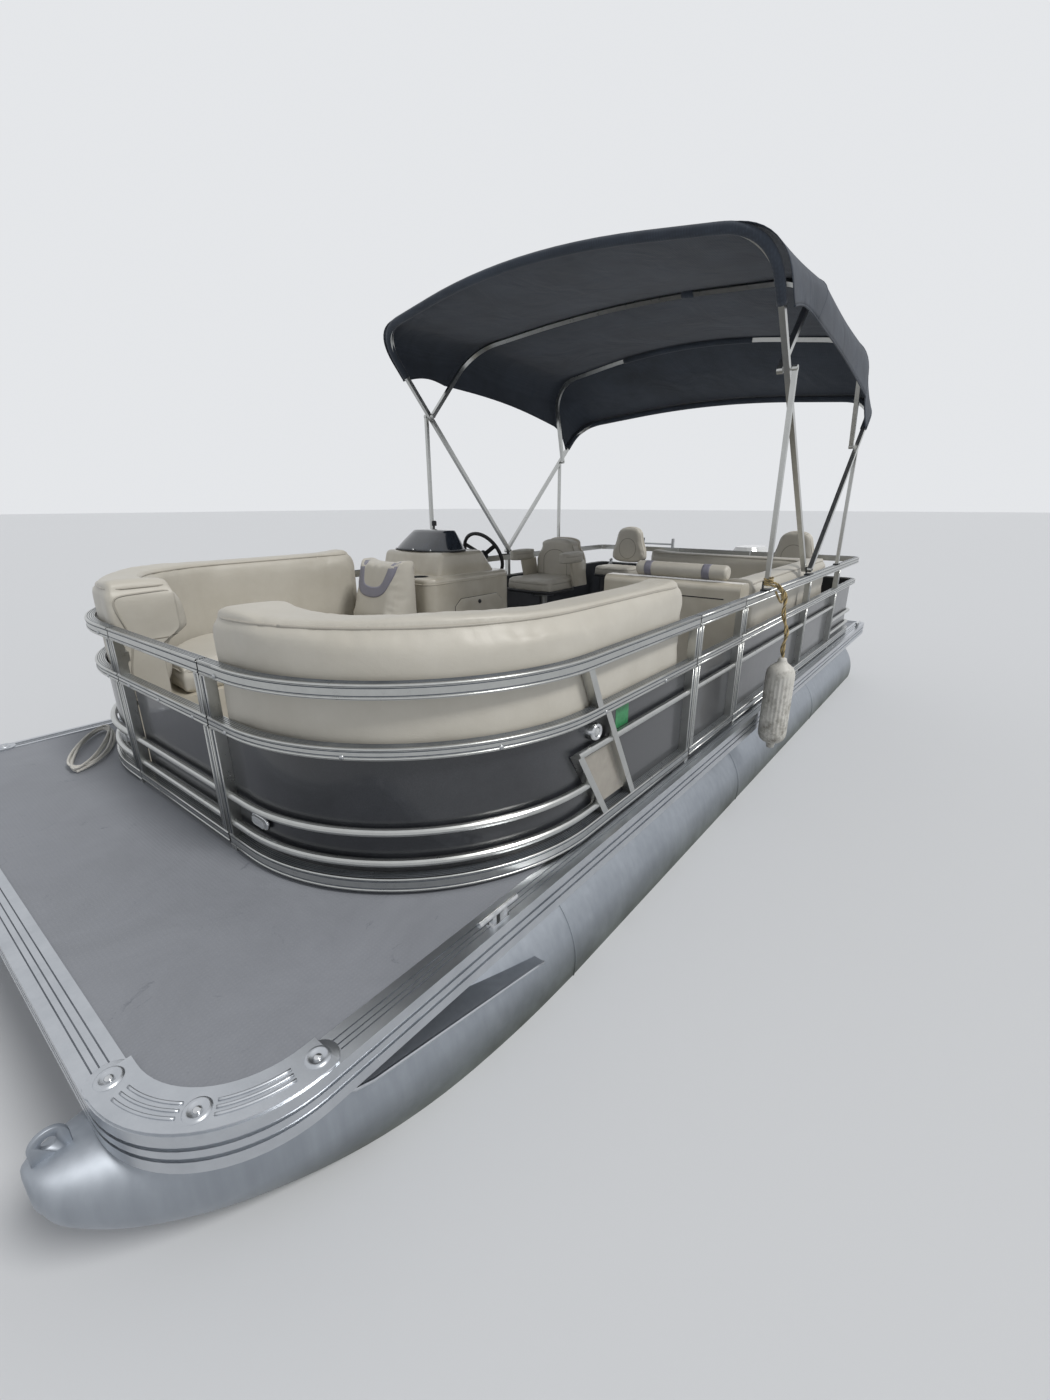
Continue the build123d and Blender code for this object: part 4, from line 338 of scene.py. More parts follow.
# The dark slate tones are darker and bluer than the cloth's own charcoal: painted shade and painted sky light
dress(tree, shader, tones(tree, mixed, ("#2a3039", "#3f4753"), (0.3, 0.75)),
      relief=bump(tree, noise(tree, place, 3.0, 3.0, distortion=1.4), 0.45, 0.02, bump(tree, weave, 0.4, 0.0012)))
print(deck_weave.name, canopy_acrylic.name)

# %% Fender vinyl and ropes
fender_vinyl, tree, shader, place = start_finish("soiled white fender vinyl", IOR=1.52)
split = add_node(tree, "ShaderNodeSeparateXYZ", links={"Vector": place})
grime = noise(tree, place, 26.0, 9.0, 0.75)
# Dirtier towards the foot: from 0.33 to 0.8 m above the water
lower = between(tree, split.outputs["Z"], 0.16, -0.05, 0.33, 0.8)
dirt = add_node(tree, "ShaderNodeMath", links={0: grime, 1: lower}, operation="ADD")
dress(tree, shader, tones(tree, dirt, ("#cfcdc6", "#6d685c"), (0.5, 0.82)), between(tree, grime, 0.35, 0.6))


def laid_polyester(name, *codes):
    """Laid polyester between two tones, its fibres 3 mm apart and drawn at that size."""
    return mottled(name, (330.0, 5.0), codes, relief=(0.5, 0.0008), at=(0.35, 0.65), IOR=1.5, Roughness=0.8,
                   Sheen_Weight=0.2)


white_rope = laid_polyester("white laid polyester rope", "#cbc9c2", "#dfddd7")
gold_rope = laid_polyester("gold laid polyester rope", "#a08a5c", "#c4ae7c")
dark_strand = laid_polyester("brown marker strand", "#5c5138", "#7a6c4c")
print(fender_vinyl.name, white_rope.name, gold_rope.name)

# %% [markdown]
# ## Finishes on the model's own pieces
# Rigid pieces whose shape is right keep their mesh and only get a finish. The soft pieces in this list get
# theirs too, until a sewn form takes their place further down.

# %% Give each piece its finish
FINISHES = {
    hull_sheet: ("port_pontoon", "starboard_pontoon", "cross_members"),
    trim_metal: ("deck_trim",),
    fence_metal: ("port_bow_fence", "starboard_bow_fence", "port_aft_fence", "starboard_aft_fence",
                  "bow_gate_frame", "side_gate_frame", "stern_gate_frame", "bimini_front_bow",
                  "bimini_second_bow", "bimini_third_bow", "bimini_rear_frame", "bimini_front_struts"),
    pod_paint: ("motor_pod",),
    deck_weave: ("deck",),
    charcoal_skin: ("fence_panels", "bow_gate_panel", "side_gate_panel", "stern_gate_panel"),
    beige_skin: ("accent_panels",),
    gel_coat: ("console", "bow_lounge_bases", "aft_lounge_base", "aft_lounge_end"),
    smoked_acrylic: ("console_cowl",),
    soft_pvc: ("steering_wheel",),
    black_abs: ("throttle", "bimini_mounts"),
    satin_steel: ("chair_pedestals", "ladder_bracket", "ladder_upper", "ladder_lower", "propeller"),
    bright_steel: ("cleats", "running_lights"),
    engine_grey: ("outboard_clamp", "swivel_bracket", "outboard_leg"),
    engine_white: ("outboard_cowl",),
    ivory_vinyl: ("fixed_cushions", "port_bow_seat", "starboard_bow_seat", "port_bow_backrest",
                  "starboard_bow_backrest", "chaise_back", "aft_lounge_seat", "aft_backrest",
                  "headrest_bolster", "helm_chair", "port_fishing_seat", "port_fishing_back",
                  "starboard_fishing_seat", "starboard_fishing_back"),
    canopy_acrylic: ("bimini_canopy",),
    fender_vinyl: ("fender",),
    gold_rope: ("fender_rope",),
    white_rope: ("deck_rope",),
}
for finish, names in FINISHES.items():
    for name in names:
        materials = nodes[name].data.materials
        for index in range(len(materials)):
            materials[index] = finish
dressed = {name for names in FINISHES.values() for name in names}
print("pieces without a finish", sorted(set(nodes) - dressed))

# %% [markdown]
# ## Ropes
# Two ropes show: the fender's lanyard, which hangs from the foot of a canopy strut, and a dock line thrown
# down on the starboard foredeck. A rope could be a smooth bevelled curve, but its three twisted strands are
# what names it. So a smooth spline sets the line and each strand is a small tube that winds round it.

# %% Mesh helpers
import bmesh


def turns(count):
    """Angles spread evenly round a circle."""
    return [2 * math.pi * k / count for k in range(count)]


def mesh_of(builder, outward=False):
    """Ends a mesh that is being built and gives it, with its faces turned outward if asked."""
    if outward:
        bmesh.ops.recalc_face_normals(builder, faces=builder.faces[:])
    mesh = bpy.data.meshes.new("drawn")
    builder.to_mesh(mesh)
    builder.free()
    return mesh


def link(name, mesh, *finishes):
    """A new object in the scene with its finishes."""
    # Clearing an empty list would also reset which finish each face has
    if len(mesh.materials):
        mesh.materials.clear()
    for finish in finishes:
        mesh.materials.append(finish)
    piece = bpy.data.objects.new(name, mesh)
    bpy.context.scene.collection.objects.link(piece)
    return piece


def settle(piece, body, node=None):
    """Puts a piece on its body, if it is given one, in place of a node of the model."""
    if body:
        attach(piece, body)
    if node:
        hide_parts(node)
    return piece


def span(builder, rows, closed=True, finish=0):
    """Smooth faces between rows of points; closed rows join their ends, and a single point ends in a fan."""
    for a, b in zip(rows, rows[1:]):
        count = max(len(a), len(b))
        for i in range(count if closed else count - 1):
            j = (i + 1) % count
            corners = list(dict.fromkeys((a[i % len(a)], a[j % len(a)], b[j % len(b)], b[i % len(b)])))
            if all(corners):
                face = builder.faces.new(corners)
                face.smooth, face.material_index = True, finish


print("mesh tools ready")

# %% Lines and tubes
def line_length(line):
    """Length along a row of points."""
    return sum((b - a).length for a, b in zip(line, line[1:]))


def rope_line(points):
    """A smooth spline through the bends that a rope's route names; gives the points along it."""
    data = bpy.data.curves.new("route", "CURVE")
    data.dimensions, data.resolution_u = "3D", 16
    spline = data.splines.new("NURBS")
    spline.points.add(len(points) - 1)
    for spot, point in zip(spline.points, points):
        spot.co = (*point, 1.0)
    spline.order_u, spline.use_endpoint_u = 3, True
    holder = bpy.data.objects.new("route", data)
    drawn = bpy.data.meshes.new_from_object(holder)
    line = [vertex.co.copy() for vertex in drawn.vertices]
    bpy.data.objects.remove(holder)
    bpy.data.meshes.remove(drawn)
    return line


def even_steps(line, step):
    """The same line with points one step apart."""
    marks, travelled = [line[0].copy()], 0.0
    for a, b in zip(line, line[1:]):
        run = (b - a).length
        while run > 0 and travelled + run >= step:
            a = a.lerp(b, (step - travelled) / run)
            marks.append(a.copy())
            run = (b - a).length
            travelled = 0.0
        travelled += run
    if (marks[-1] - line[-1]).length > step * 0.3:
        marks.append(line[-1].copy())
    return marks


def heading(line, index):
    """The way a row of points runs at one of them."""
    return (line[min(index + 1, len(line) - 1)] - line[max(index - 1, 0)]).normalized()


def carried_frames(line):
    """Two directions across the line at each point, carried along without spinning."""
    frames, side = [], None
    for index in range(len(line)):
        way = heading(line, index)
        if side is None:
            side = way.cross(Vector((0, 0, 1)) if abs(way.z) < 0.9 else Vector((1, 0, 0))).normalized()
        side = (side - way * side.dot(way)).normalized()
        frames.append((side, way.cross(side)))
    return frames


def around(point, u, v, angle, radius):
    """A point off another, at an angle between two directions."""
    return point + (u * math.cos(angle) + v * math.sin(angle)) * radius


def tubes(name, rows, sides, *finishes):
    """One piece made of closed tubes along rows of points; each row has its radius and finish index."""
    builder = bmesh.new()
    for line, radius, finish in rows:
        rings = [[builder.verts.new(around(point, u, v, a, radius)) for a in turns(sides)]
                 for point, (u, v) in zip(line, carried_frames(line))]
        span(builder, rings, finish=finish)
        for cap in (rings[0][::-1], rings[-1]):
            builder.faces.new(cap).material_index = finish
    return link(name, mesh_of(builder), *finishes)


def tube_piece(name, lines, radius, finish, body, sides=8, node=None):
    """Tubes of one size and finish as a settled piece; with no body it is put on none."""
    return settle(tubes(name, [(line, radius, 0) for line in lines], sides, finish), body, node)


# In rope diameters: how far a strand lies off the middle, its radius and the length of one turn of TURN_STEPS
STRAND_OFF, STRAND_R, PITCH, STRANDS, TURN_STEPS = 0.235, 0.262, 3.6, 3, 12


def laid(name, line, diameter, finishes):
    """A laid rope along a line: strands that wind round it."""
    marks = even_steps(line, diameter * PITCH / TURN_STEPS)
    frames = carried_frames(marks)
    rows = [([around(point, u, v, 2 * math.pi * (index / TURN_STEPS + strand / STRANDS), diameter * STRAND_OFF)
              for index, (point, (u, v)) in enumerate(zip(marks, frames))],
             diameter * STRAND_R, strand % len(finishes)) for strand in range(STRANDS)]
    return tubes(name, rows, 6, *finishes), marks


print("rope tools ready")

# %% Fender lanyard
ROPE_D = 0.012
GOLD = (gold_rope, gold_rope, dark_strand)
FENDER_ROUTE = ((0.008093, 1.240, 1.172), (0.008093, 1.304, 1.172), (0.022093, 1.335, 1.062),
                (0.070, 1.373, 0.907), (0.070, 1.373, 0.812))
lanyard, lanyard_line = laid("fender_lanyard", rope_line(FENDER_ROUTE), ROPE_D, GOLD)
settle(lanyard, "boat", "fender_rope")
# The tail is doubled back along the fall, with three turns and a slack loop at the canopy leg
LEG, TURN_R = Vector((0.008, 1.236, 1.160)), 0.0195
knot = [LEG + Vector((TURN_R * math.cos(a), TURN_R * math.sin(a), 0.036 - 0.012 * a / (2 * math.pi)))
        for a in (2 * math.pi * k / 12 for k in range(3, 40))]
loop = [(0.004, 1.262, 1.152), (-0.022, 1.276, 1.146), (-0.055, 1.290, 1.118), (-0.062, 1.298, 1.082),
        (-0.034, 1.302, 1.062), (-0.008, 1.292, 1.090), (0.004, 1.276, 1.128)]
doubled = [around(point, u, v, 0.13 * index, ROPE_D)
           for index, (point, (u, v)) in enumerate(zip(lanyard_line, carried_frames(lanyard_line)))][10:]
extras = [settle(laid(name, line, ROPE_D, GOLD)[0], "boat") for name, line in (
    ("lanyard_tail", doubled), ("lanyard_knot", rope_line([tuple(p) for p in knot] + loop)))]
print("lanyard length", round(line_length(lanyard_line), 3))

# %% Dock line on the foredeck
DOCK_SPOT, DOCK_TURN = Vector((2.440, -0.900, 0.0)), math.radians(62)
DOCK_TURNS, POINTS_A_TURN = 4, 14
dock_points = []
for step in range(DOCK_TURNS * POINTS_A_TURN + 1):
    lap = step / POINTS_A_TURN
    angle = 2 * math.pi * step / POINTS_A_TURN
    # Each lap is thrown a little differently, and dips towards the middle as a dropped hank does
    half_long = 0.251 + 0.017 * math.sin(2.3 * lap + 0.4)
    half_wide = (0.058 + 0.013 * math.sin(3.1 * lap + 1.2)) * (1.0 - 0.10 * math.cos(2 * angle + 0.8 * lap))
    flat = Vector((half_long * math.cos(angle), half_wide * math.sin(angle), 0.0))
    flat.rotate(Matrix.Rotation(DOCK_TURN, 3, "Z"))
    height = 0.5075 + 0.0050 * lap + 0.0028 * (1 + math.sin(2.7 * angle))
    dock_points.append((DOCK_SPOT.x + flat.x, DOCK_SPOT.y + flat.y, height))
dock_line, dock_marks = laid("dock_line", rope_line(dock_points), ROPE_D, (white_rope,))
settle(dock_line, "boat", "deck_rope")
print("dock line length", round(line_length(dock_marks), 3))

# %% [markdown]
# ## Sewn cushions
# A boat cushion is a foam block in a tight vinyl cover, sewn from panels with piping in the seams. A bevelled
# box looks hard, because real vinyl crowns between its seams and pulls in at the corners. So each pad starts
# as the model's plain solid, drawn in a little and given an even skin of small faces. Air pressure in a cloth
# simulation then swells it, with a cap on how far any point may go. Seams are pressed in and piped afterwards.

# %% Pad helpers
def baked(piece):
    """The mesh of a piece with its modifiers, in place of its own."""
    drawn = bpy.data.meshes.new_from_object(piece.evaluated_get(bpy.context.evaluated_depsgraph_get()))
    piece.modifiers.clear()
    piece.data = drawn
    return piece


def reworked(piece, kind, **values):
    """A piece with one modifier set up and baked in, all its faces smooth."""
    modifier = piece.modifiers.new(kind.lower(), kind)
    for field, value in values.items():
        setattr(modifier, field, value)
    baked(piece)
    for face in piece.data.polygons:
        face.use_smooth = True
    return piece


pads = {}


def pad(name, node, body, source=None, voxel=0.014, draw_in=0.010, rounding=7, cap=0.020):
    """A cushion that stands for a node: a blank with small even faces, drawn in and rounded."""
    piece = link(name, source or nodes[node].data.copy(), ivory_vinyl)
    reworked(piece, "REMESH", mode="VOXEL", voxel_size=voxel)
    reworked(piece, "DISPLACE", strength=-draw_in, mid_level=0.0)
    reworked(piece, "SMOOTH", factor=0.5, iterations=rounding)
    pads[name] = {"piece": piece, "node": node, "body": body, "cap": cap}


print("pad tools ready")

# %% Lounge pads
HANDS = {"port": 1, "starboard": -1}
for word in HANDS:
    pad(f"{word}_bow_back_pad", f"{word}_bow_backrest", "boat", voxel=0.016, draw_in=0.012, rounding=6)
    pad(f"{word}_bow_seat_pad", f"{word}_bow_seat", f"{word}_bow_lid")
pad("corner_seat_pads", "fixed_cushions", "boat")
pad("chaise_pad", "chaise_back", "boat", cap=0.018)
pad("aft_back_pad", "aft_backrest", "boat", voxel=0.015)
pad("aft_seat_pad", "aft_lounge_seat", "aft_lid")
pad("headrest_pad", "headrest_bolster", "boat", voxel=0.007, draw_in=0.004, rounding=3, cap=0.006)
print("pads so far", len(pads))

# %% [markdown]
# ## Chairs
# The helm chair has a broad back that narrows to the shoulders, a deep seat and two thick arm pads. The two
# fishing chairs have a bell-shaped folding back. Each pad is drawn as an outline seen from the front and given
# its thickness, then stuffed as the others. Under each seat a black moulded shell meets the post.

# %% Outlines and slabs
def slab(outline, place, thickness):
    """A closed slab over an outline; place turns its two measures and the way out into a point."""
    builder = bmesh.new()
    rows = [[builder.verts.new(place(a, b, out)) for a, b in outline] for out in (0.0, thickness)]
    for cap in (rows[0][::-1], rows[1]):
        builder.faces.new(cap)
    span(builder, rows)
    for face in builder.faces:
        face.smooth = False
    return mesh_of(builder, outward=True)


def bend(start, corner, end, t):
    """A point a share of the way along a smooth bend round a corner."""
    return tuple((1 - t) ** 2 * s + 2 * t * (1 - t) * c + t * t * e for s, c, e in zip(start, corner, end))


def rounded(points, steps=6):
    """A smooth closed outline through its corner points, each edge's middle kept."""
    halves = [((a[0] + b[0]) / 2, (a[1] + b[1]) / 2) for a, b in zip(points[-1:] + points[:-1], points)]
    return [bend(start, here, end, k / steps) for start, here, end in zip(halves, points, halves[1:] + halves[:1])
            for k in range(steps)]


def facing_ahead(x, y):
    """Places an outline seen from ahead: across to port, up, and thickness towards the bow."""
    return lambda a, b, out: Vector((x + out, y + a, b))


def lying(x, y, z):
    """Places an outline seen from above: towards the bow, to port, and thickness upwards."""
    return lambda a, b, out: Vector((x + a, y + b, z + out))


def upright(x, y, hand=1):
    """Places an outline in an upright plane along the boat, its thickness to port, or starboard with hand -1."""
    return lambda a, b, out: Vector((x + a, y + hand * out, b))


print("outline tools ready")

# %% Chair pads
HELM = (-0.790, -0.780)
FISHING = {"port": (-2.050, 0.780), "starboard": (-2.050, -0.780)}
helm_back = rounded([(-0.222, 0.925), (0.222, 0.925), (0.232, 1.080), (0.205, 1.165), (0.168, 1.200),
                     (0.160, 1.288), (-0.160, 1.288), (-0.168, 1.200), (-0.205, 1.165), (-0.232, 1.080)])
helm_seat = rounded([(-0.245, -0.236), (0.15, -0.236), (0.246, -0.232), (0.246, 0.232), (0.15, 0.236),
                     (-0.245, 0.236)])
helm_arm = rounded([(-0.19, -0.040), (0.10, -0.040), (0.122, 0.0), (0.10, 0.040), (-0.19, 0.040)], 4)
pad("helm_back_pad", "helm_chair", "helm_chair", slab(helm_back, facing_ahead(HELM[0] - 0.292, HELM[1]), 0.118),
    voxel=0.010, draw_in=0.004, rounding=6, cap=0.016)
pad("helm_seat_pad", "helm_chair", "helm_chair", slab(helm_seat, lying(*HELM, 0.884), 0.084),
    voxel=0.010, draw_in=0.003, rounding=6, cap=0.016)
for word, hand in reversed(HANDS.items()):
    pad(f"helm_{word}_arm_pad", "helm_chair", "helm_chair",
        slab(helm_arm, lying(HELM[0], HELM[1] + hand * 0.250, 1.100), 0.082),
        voxel=0.008, draw_in=0.002, rounding=5, cap=0.010)
bell = rounded([(-0.188, 0.972), (0.188, 0.972), (0.188, 1.100), (0.150, 1.180), (0.120, 1.338),
                (-0.120, 1.338), (-0.150, 1.180), (-0.188, 1.100)])
fishing_seat = rounded([(-0.132, -0.212), (0.12, -0.212), (0.203, -0.19), (0.203, 0.19), (0.12, 0.212),
                        (-0.132, 0.212)])
for word, (x, y) in FISHING.items():
    pad(f"{word}_fishing_back_pad", f"{word}_fishing_back", f"{word}_fishing_fold",
        slab(bell, facing_ahead(x - 0.216, y), 0.070), voxel=0.009, draw_in=0.003, rounding=5, cap=0.010)
    pad(f"{word}_fishing_seat_pad", f"{word}_fishing_seat", f"{word}_fishing_chair",
        slab(fishing_seat, lying(x, y, 0.882), 0.076), voxel=0.010, draw_in=0.003, rounding=5, cap=0.012)
print("pads in all", len(pads))

# %% Air pressure
import time

AIR = {"quality": 3, "mass": 0.4, "tension_stiffness": 12, "compression_stiffness": 12, "shear_stiffness": 6,
       "bending_stiffness": 2, "use_pressure": True, "uniform_pressure_force": 4.0}
started = time.time()
for entry in pads.values():
    entry["start"] = [vertex.co.copy() for vertex in entry["piece"].data.vertices]
    air_in = entry["piece"].modifiers.new("air", "CLOTH").settings
    for field, value in AIR.items():
        setattr(air_in, field, value)
    air_in.effector_weights.gravity = 0
for step in range(1, 21):
    bpy.context.scene.frame_set(step)
for entry in pads.values():
    piece, cap = baked(entry["piece"]), entry["cap"]
    for vertex, home in zip(piece.data.vertices, entry["start"]):
        moved = vertex.co - home
        if moved.length > cap:
            vertex.co = home + moved * (cap / moved.length)
    reworked(piece, "SMOOTH", factor=0.5, iterations=3)
bpy.context.scene.frame_set(1)
for entry in pads.values():
    settle(entry["piece"], entry["body"], entry["node"])
print("pads swelled in", round(time.time() - started, 1), "s,",
      sum(len(entry["piece"].data.vertices) for entry in pads.values()), "points")

# %% [markdown]
# ## Seams and piping
# Where two panels of vinyl meet, the seam is pulled down into the foam and a welt of piping stands in it. On a
# real pad every seam closes on itself round the foam. So each seam here is a flat cut through the pad: the
# skin near the cut is pressed in, and a thin tube follows the cut's own outline.

# %% Seam helpers
def press_in(piece, point, normal, depth, width):
    """Pulls the skin down along a flat cut."""
    for vertex in piece.data.vertices:
        off = (vertex.co - Vector(point)).dot(Vector(normal))
        if abs(off) < 3 * width:
            vertex.co -= vertex.normal * depth * math.exp(-(off / width) ** 2)
    piece.data.update()


def cut_loops(mesh, point, normal):
    """Closed outlines where a flat cut meets a mesh, each a row of points in order."""
    builder = bmesh.new()
    builder.from_mesh(mesh)
    found = bmesh.ops.bisect_plane(builder, geom=builder.verts[:] + builder.edges[:] + builder.faces[:],
                                   plane_co=point, plane_no=normal)["geom_cut"]
    # A dict keeps its order, so that each run walks the outlines from the same edge
    edges = dict.fromkeys(item for item in found if isinstance(item, bmesh.types.BMEdge))
    loops = []
    while edges:
        edge = next(iter(edges))
        del edges[edge]
        first, here = edge.verts
        row = [first.co.copy(), here.co.copy()]
        while here != first:
            onward = next((e for e in here.link_edges if e in edges), None)
            if onward is None:
                break
            del edges[onward]
            here = onward.other_vert(here)
            row.append(here.co.copy())
        loops.append(row)
    builder.free()
    return [row for row in loops if line_length(row) > 0.12]


def calmed(row, rounds=3):
    """A closed row of points with its small zigzags smoothed out."""
    row = row[:-1] if (row[0] - row[-1]).length < 1e-6 else row
    for _ in range(rounds):
        row = [(row[i - 1] + row[i] * 2 + row[(i + 1) % len(row)]) / 4 for i in range(len(row))]
    return row + [row[0]]


def pipe_seams(pad_name, *cuts, radius=0.0042, depth=0.006, width=0.012):
    """Presses seams into a pad along flat cuts (point, normal) and lays piping in them."""
    piece, body = pads[pad_name]["piece"], pads[pad_name]["body"]
    for point, normal in cuts:
        press_in(piece, point, normal, depth, width)
    lines = [calmed(even_steps(calmed(row), 0.016)) for cut in cuts for row in cut_loops(piece.data, *cut)]
    tube_piece(f"{pad_name}_piping", lines, radius, piping_vinyl, body, 6)


print("seam tools ready")

# %% Rounder backrest ends
# Points ahead of ATHWART_X belong to the part across the bow. Its section near the gate has its middle at GATE_X
# and GATE_Z and these half sizes; its rounding starts at FADE_Y and is full FADE nearer the gate
ATHWART_X, GATE_X, GATE_Z, HALF_X, HALF_Z, FADE_Y, FADE = 2.0, 2.300, 1.050, 0.080, 0.250, 0.520, 0.100
# Boxiness of the rounded section, its play before it is held in, and how much fatter it gets
BOXY, PLAY, FATTER = 3.0, 1.06, 0.20
# The inner side's X, its radius where it turns round the corner's middle, and how deep the foam follows it
INNER_X, INNER_R, CORNER_X, CORNER_Y, FOLLOW = 2.365, 0.690, 1.675, 0.495, 0.13
# The bulge: its size, where it starts, and over what run and rise it grows to that size
BOLSTER, BULGE_X, BULGE_Y, BULGE_RUN, BULGE_Z, BULGE_RISE = 0.085, 1.7, 0.86, 0.40, 1.015, 0.075
# Radius of each end's upper corner, and the foot and height of what it rounds
END_ROUND, END_FOOT, END_TALL = 0.075, 1.10, 0.200


def clamped(value):
    """A value held between 0 and 1."""
    return max(0.0, min(1.0, value))


def eased(share):
    """A share that starts and ends gently."""
    return share * share * (3 - 2 * share)


for word, hand in HANDS.items():
    skin = pads[f"{word}_bow_back_pad"]["piece"].data
    # The gate end's section is rounded like a bolster and fattened
    for vertex in skin.vertices:
        near = clamped((FADE_Y - vertex.co.y * hand) / FADE)
        if near and vertex.co.x > ATHWART_X:
            off_x, off_z = vertex.co.x - GATE_X, vertex.co.z - GATE_Z
            reach = (abs(off_x / HALF_X) ** BOXY + abs(off_z / HALF_Z) ** BOXY) ** (1 / BOXY)
            held = 1 + ((min(1.0, PLAY / reach) if reach else 1.0) - 1) * near
            vertex.co.x = GATE_X + off_x * held * (1 + FATTER * near)
            vertex.co.z = GATE_Z + off_z * held
    # Its inner side bulges towards the seats, most at the gate and near the top
    for vertex in skin.vertices:
        here, middle = Vector((vertex.co.x, vertex.co.y * hand, 0.0)), Vector((CORNER_X, CORNER_Y, 0.0))
        if here.x < BULGE_X:
            continue
        straight = here.y < CORNER_Y
        inward = Vector((-1.0, 0.0, 0.0)) if straight else (middle - here).normalized()
        reach = INNER_X - here.x if straight else INNER_R - (here - middle).length
        near, above = clamped((BULGE_Y - here.y) / BULGE_RUN), clamped((vertex.co.z - BULGE_Z) / BULGE_RISE)
        push = BOLSTER * eased(near) * eased(above) * clamped(reach / FOLLOW)
        vertex.co.x += inward.x * push
        vertex.co.y += inward.y * push * hand
    gate_end = min(v.co.y * hand for v in skin.vertices if v.co.x > ATHWART_X)
    aft_end = min(v.co.x for v in skin.vertices if v.co.y * hand > 1.0)
    for vertex in skin.vertices:
        from_end = vertex.co.y * hand - gate_end if vertex.co.x > ATHWART_X else vertex.co.x - aft_end
        if from_end < END_ROUND and vertex.co.z > END_FOOT:
            fall = END_ROUND - math.sqrt(max(0.0, END_ROUND ** 2 - (END_ROUND - from_end) ** 2))
            vertex.co.z = END_FOOT + (vertex.co.z - END_FOOT) * (END_TALL - fall) / END_TALL
    skin.update()
print("backrest ends rounded")

# %% Piped seams
UP, AHEAD = (0, 0, 1), (1, 0, 0)
for word, hand in HANDS.items():
    pipe_seams(f"{word}_bow_back_pad", ((0, 0, 1.252), UP), ((0, hand * 0.412, 1.0), (0, 1, 0)))
for name, height in (("port_bow_seat_pad", 0.893), ("starboard_bow_seat_pad", 0.893), ("corner_seat_pads", 0.893),
                     ("aft_seat_pad", 0.893), ("aft_back_pad", 1.152)):
    pipe_seams(name, ((0, 0, height), UP))
pipe_seams("helm_seat_pad", ((0, 0, 0.945), UP), depth=0.004)
for word, (x, _) in FISHING.items():
    pipe_seams(f"{word}_fishing_seat_pad", ((0, 0, 0.940), UP), depth=0.004)
    pipe_seams(f"{word}_fishing_back_pad", ((x - 0.160, 0, 1.1), AHEAD), depth=0.003)
pipe_seams("helm_back_pad", ((HELM[0] - 0.196, 0, 1.1), AHEAD), depth=0.003)
for word in HANDS:
    pipe_seams(f"helm_{word}_arm_pad", ((0, 0, 1.150), UP), depth=0.002, radius=0.003)
print("seams piped")

# %% Inset seams on the chair backs
from mathutils.bvhtree import BVHTree


def skin_of(name):
    """A search tree over a pad's skin."""
    data = pads[name]["piece"].data
    return BVHTree.FromPolygons([v.co for v in data.vertices], [p.vertices for p in data.polygons])


def inset_seam(name, pad_name, path, way, back_off, body):
    """A line of stitching laid on a pad, drawn dark as painted shade in the seam: the path's points are dropped onto
    it along a direction.
    """
    skin, way = skin_of(pad_name), Vector(way)
    hits = [skin.ray_cast(Vector(point) - way * back_off, way)[:2] for point in path]
    row = [spot - normal * 0.0008 for spot, normal in hits if spot]
    tube_piece(name, [row], 0.0028, stitch_shade_vinyl, body, 6)


SEAM_HALF, SEAM_X = 0.118, HELM[0] - 0.170
arch = [(-SEAM_HALF, 0.965 + 0.012 * k) for k in range(12)]
arch += [(-SEAM_HALF * math.cos(a), 1.100 + 0.085 * math.sin(a)) for a in (math.pi * k / 18 for k in range(19))]
arch += [(SEAM_HALF, 1.097 - 0.012 * k) for k in range(12)]
inset_seam("helm_inset_seam", "helm_back_pad", [(SEAM_X, HELM[1] + a, b) for a, b in arch], (-1, 0, 0), 0.20,
           "helm_chair")
for word, (x, y) in FISHING.items():
    oval = [(x - 0.140, y + 0.092 * math.cos(a), 1.120 + 0.098 * math.sin(a)) for a in turns(40) + [2 * math.pi]]
    inset_seam(f"{word}_fishing_inset_seam", f"{word}_fishing_back_pad", oval, (-1, 0, 0), 0.20,
               f"{word}_fishing_fold")
# A black line laid in the slot at the lounge's end: painted shade of the gap
tube_piece("lounge_end_shade_line", [[Vector((0.2004, y, 1.092)) for y in (0.560, 0.700, 0.900, 1.085)]], 0.0030,
           soft_pvc, "boat", 6)
for word, hand in HANDS.items():
    inset_seam(f"{word}_bolster_fold", f"{word}_bow_back_pad",
               [(2.115 + 0.01 * k, hand * 0.30, 1.052) for k in range(27)], (0, hand, 0), 0.0, "boat")
print("inset seams done")

# %% Tools for rigid parts
def keep_sharp(piece, angle):
    """Shades smoothly but for edges that turn by more than the angle."""
    piece.data.set_sharp_from_angle(angle=math.radians(angle))
    return piece


def with_bevel(name, mesh, width, segments, finish):
    """A rigid piece from a plain blank with its edges rounded."""
    piece = link(name, mesh, finish)
    reworked(piece, "BEVEL", width=width, segments=segments, limit_method="ANGLE", angle_limit=math.radians(40))
    return keep_sharp(piece, 50)


def hard_part(name, mesh, finish, body, node, slot_name, width=0.004, segments=2):
    """A rigid piece with rounded edges that stands for a node of the model."""
    return settle(with_bevel(name, mesh, width, segments, finish), body, node)


def bored(piece, cutter):
    """A piece with the shape of a cutter taken out of it."""
    tool = link("cutter", cutter)
    modifier = piece.modifiers.new("bore", "BOOLEAN")
    modifier.object, modifier.operation, modifier.solver = tool, "DIFFERENCE", "EXACT"
    baked(piece)
    bpy.data.objects.remove(tool)
    return piece


def scaled(outline, factor):
    """An outline drawn in about its own middle."""
    middle = [sum(p[k] for p in outline) / len(outline) for k in (0, 1)]
    return [(middle[0] + (a - middle[0]) * factor, middle[1] + (b - middle[1]) * factor) for a, b in outline]


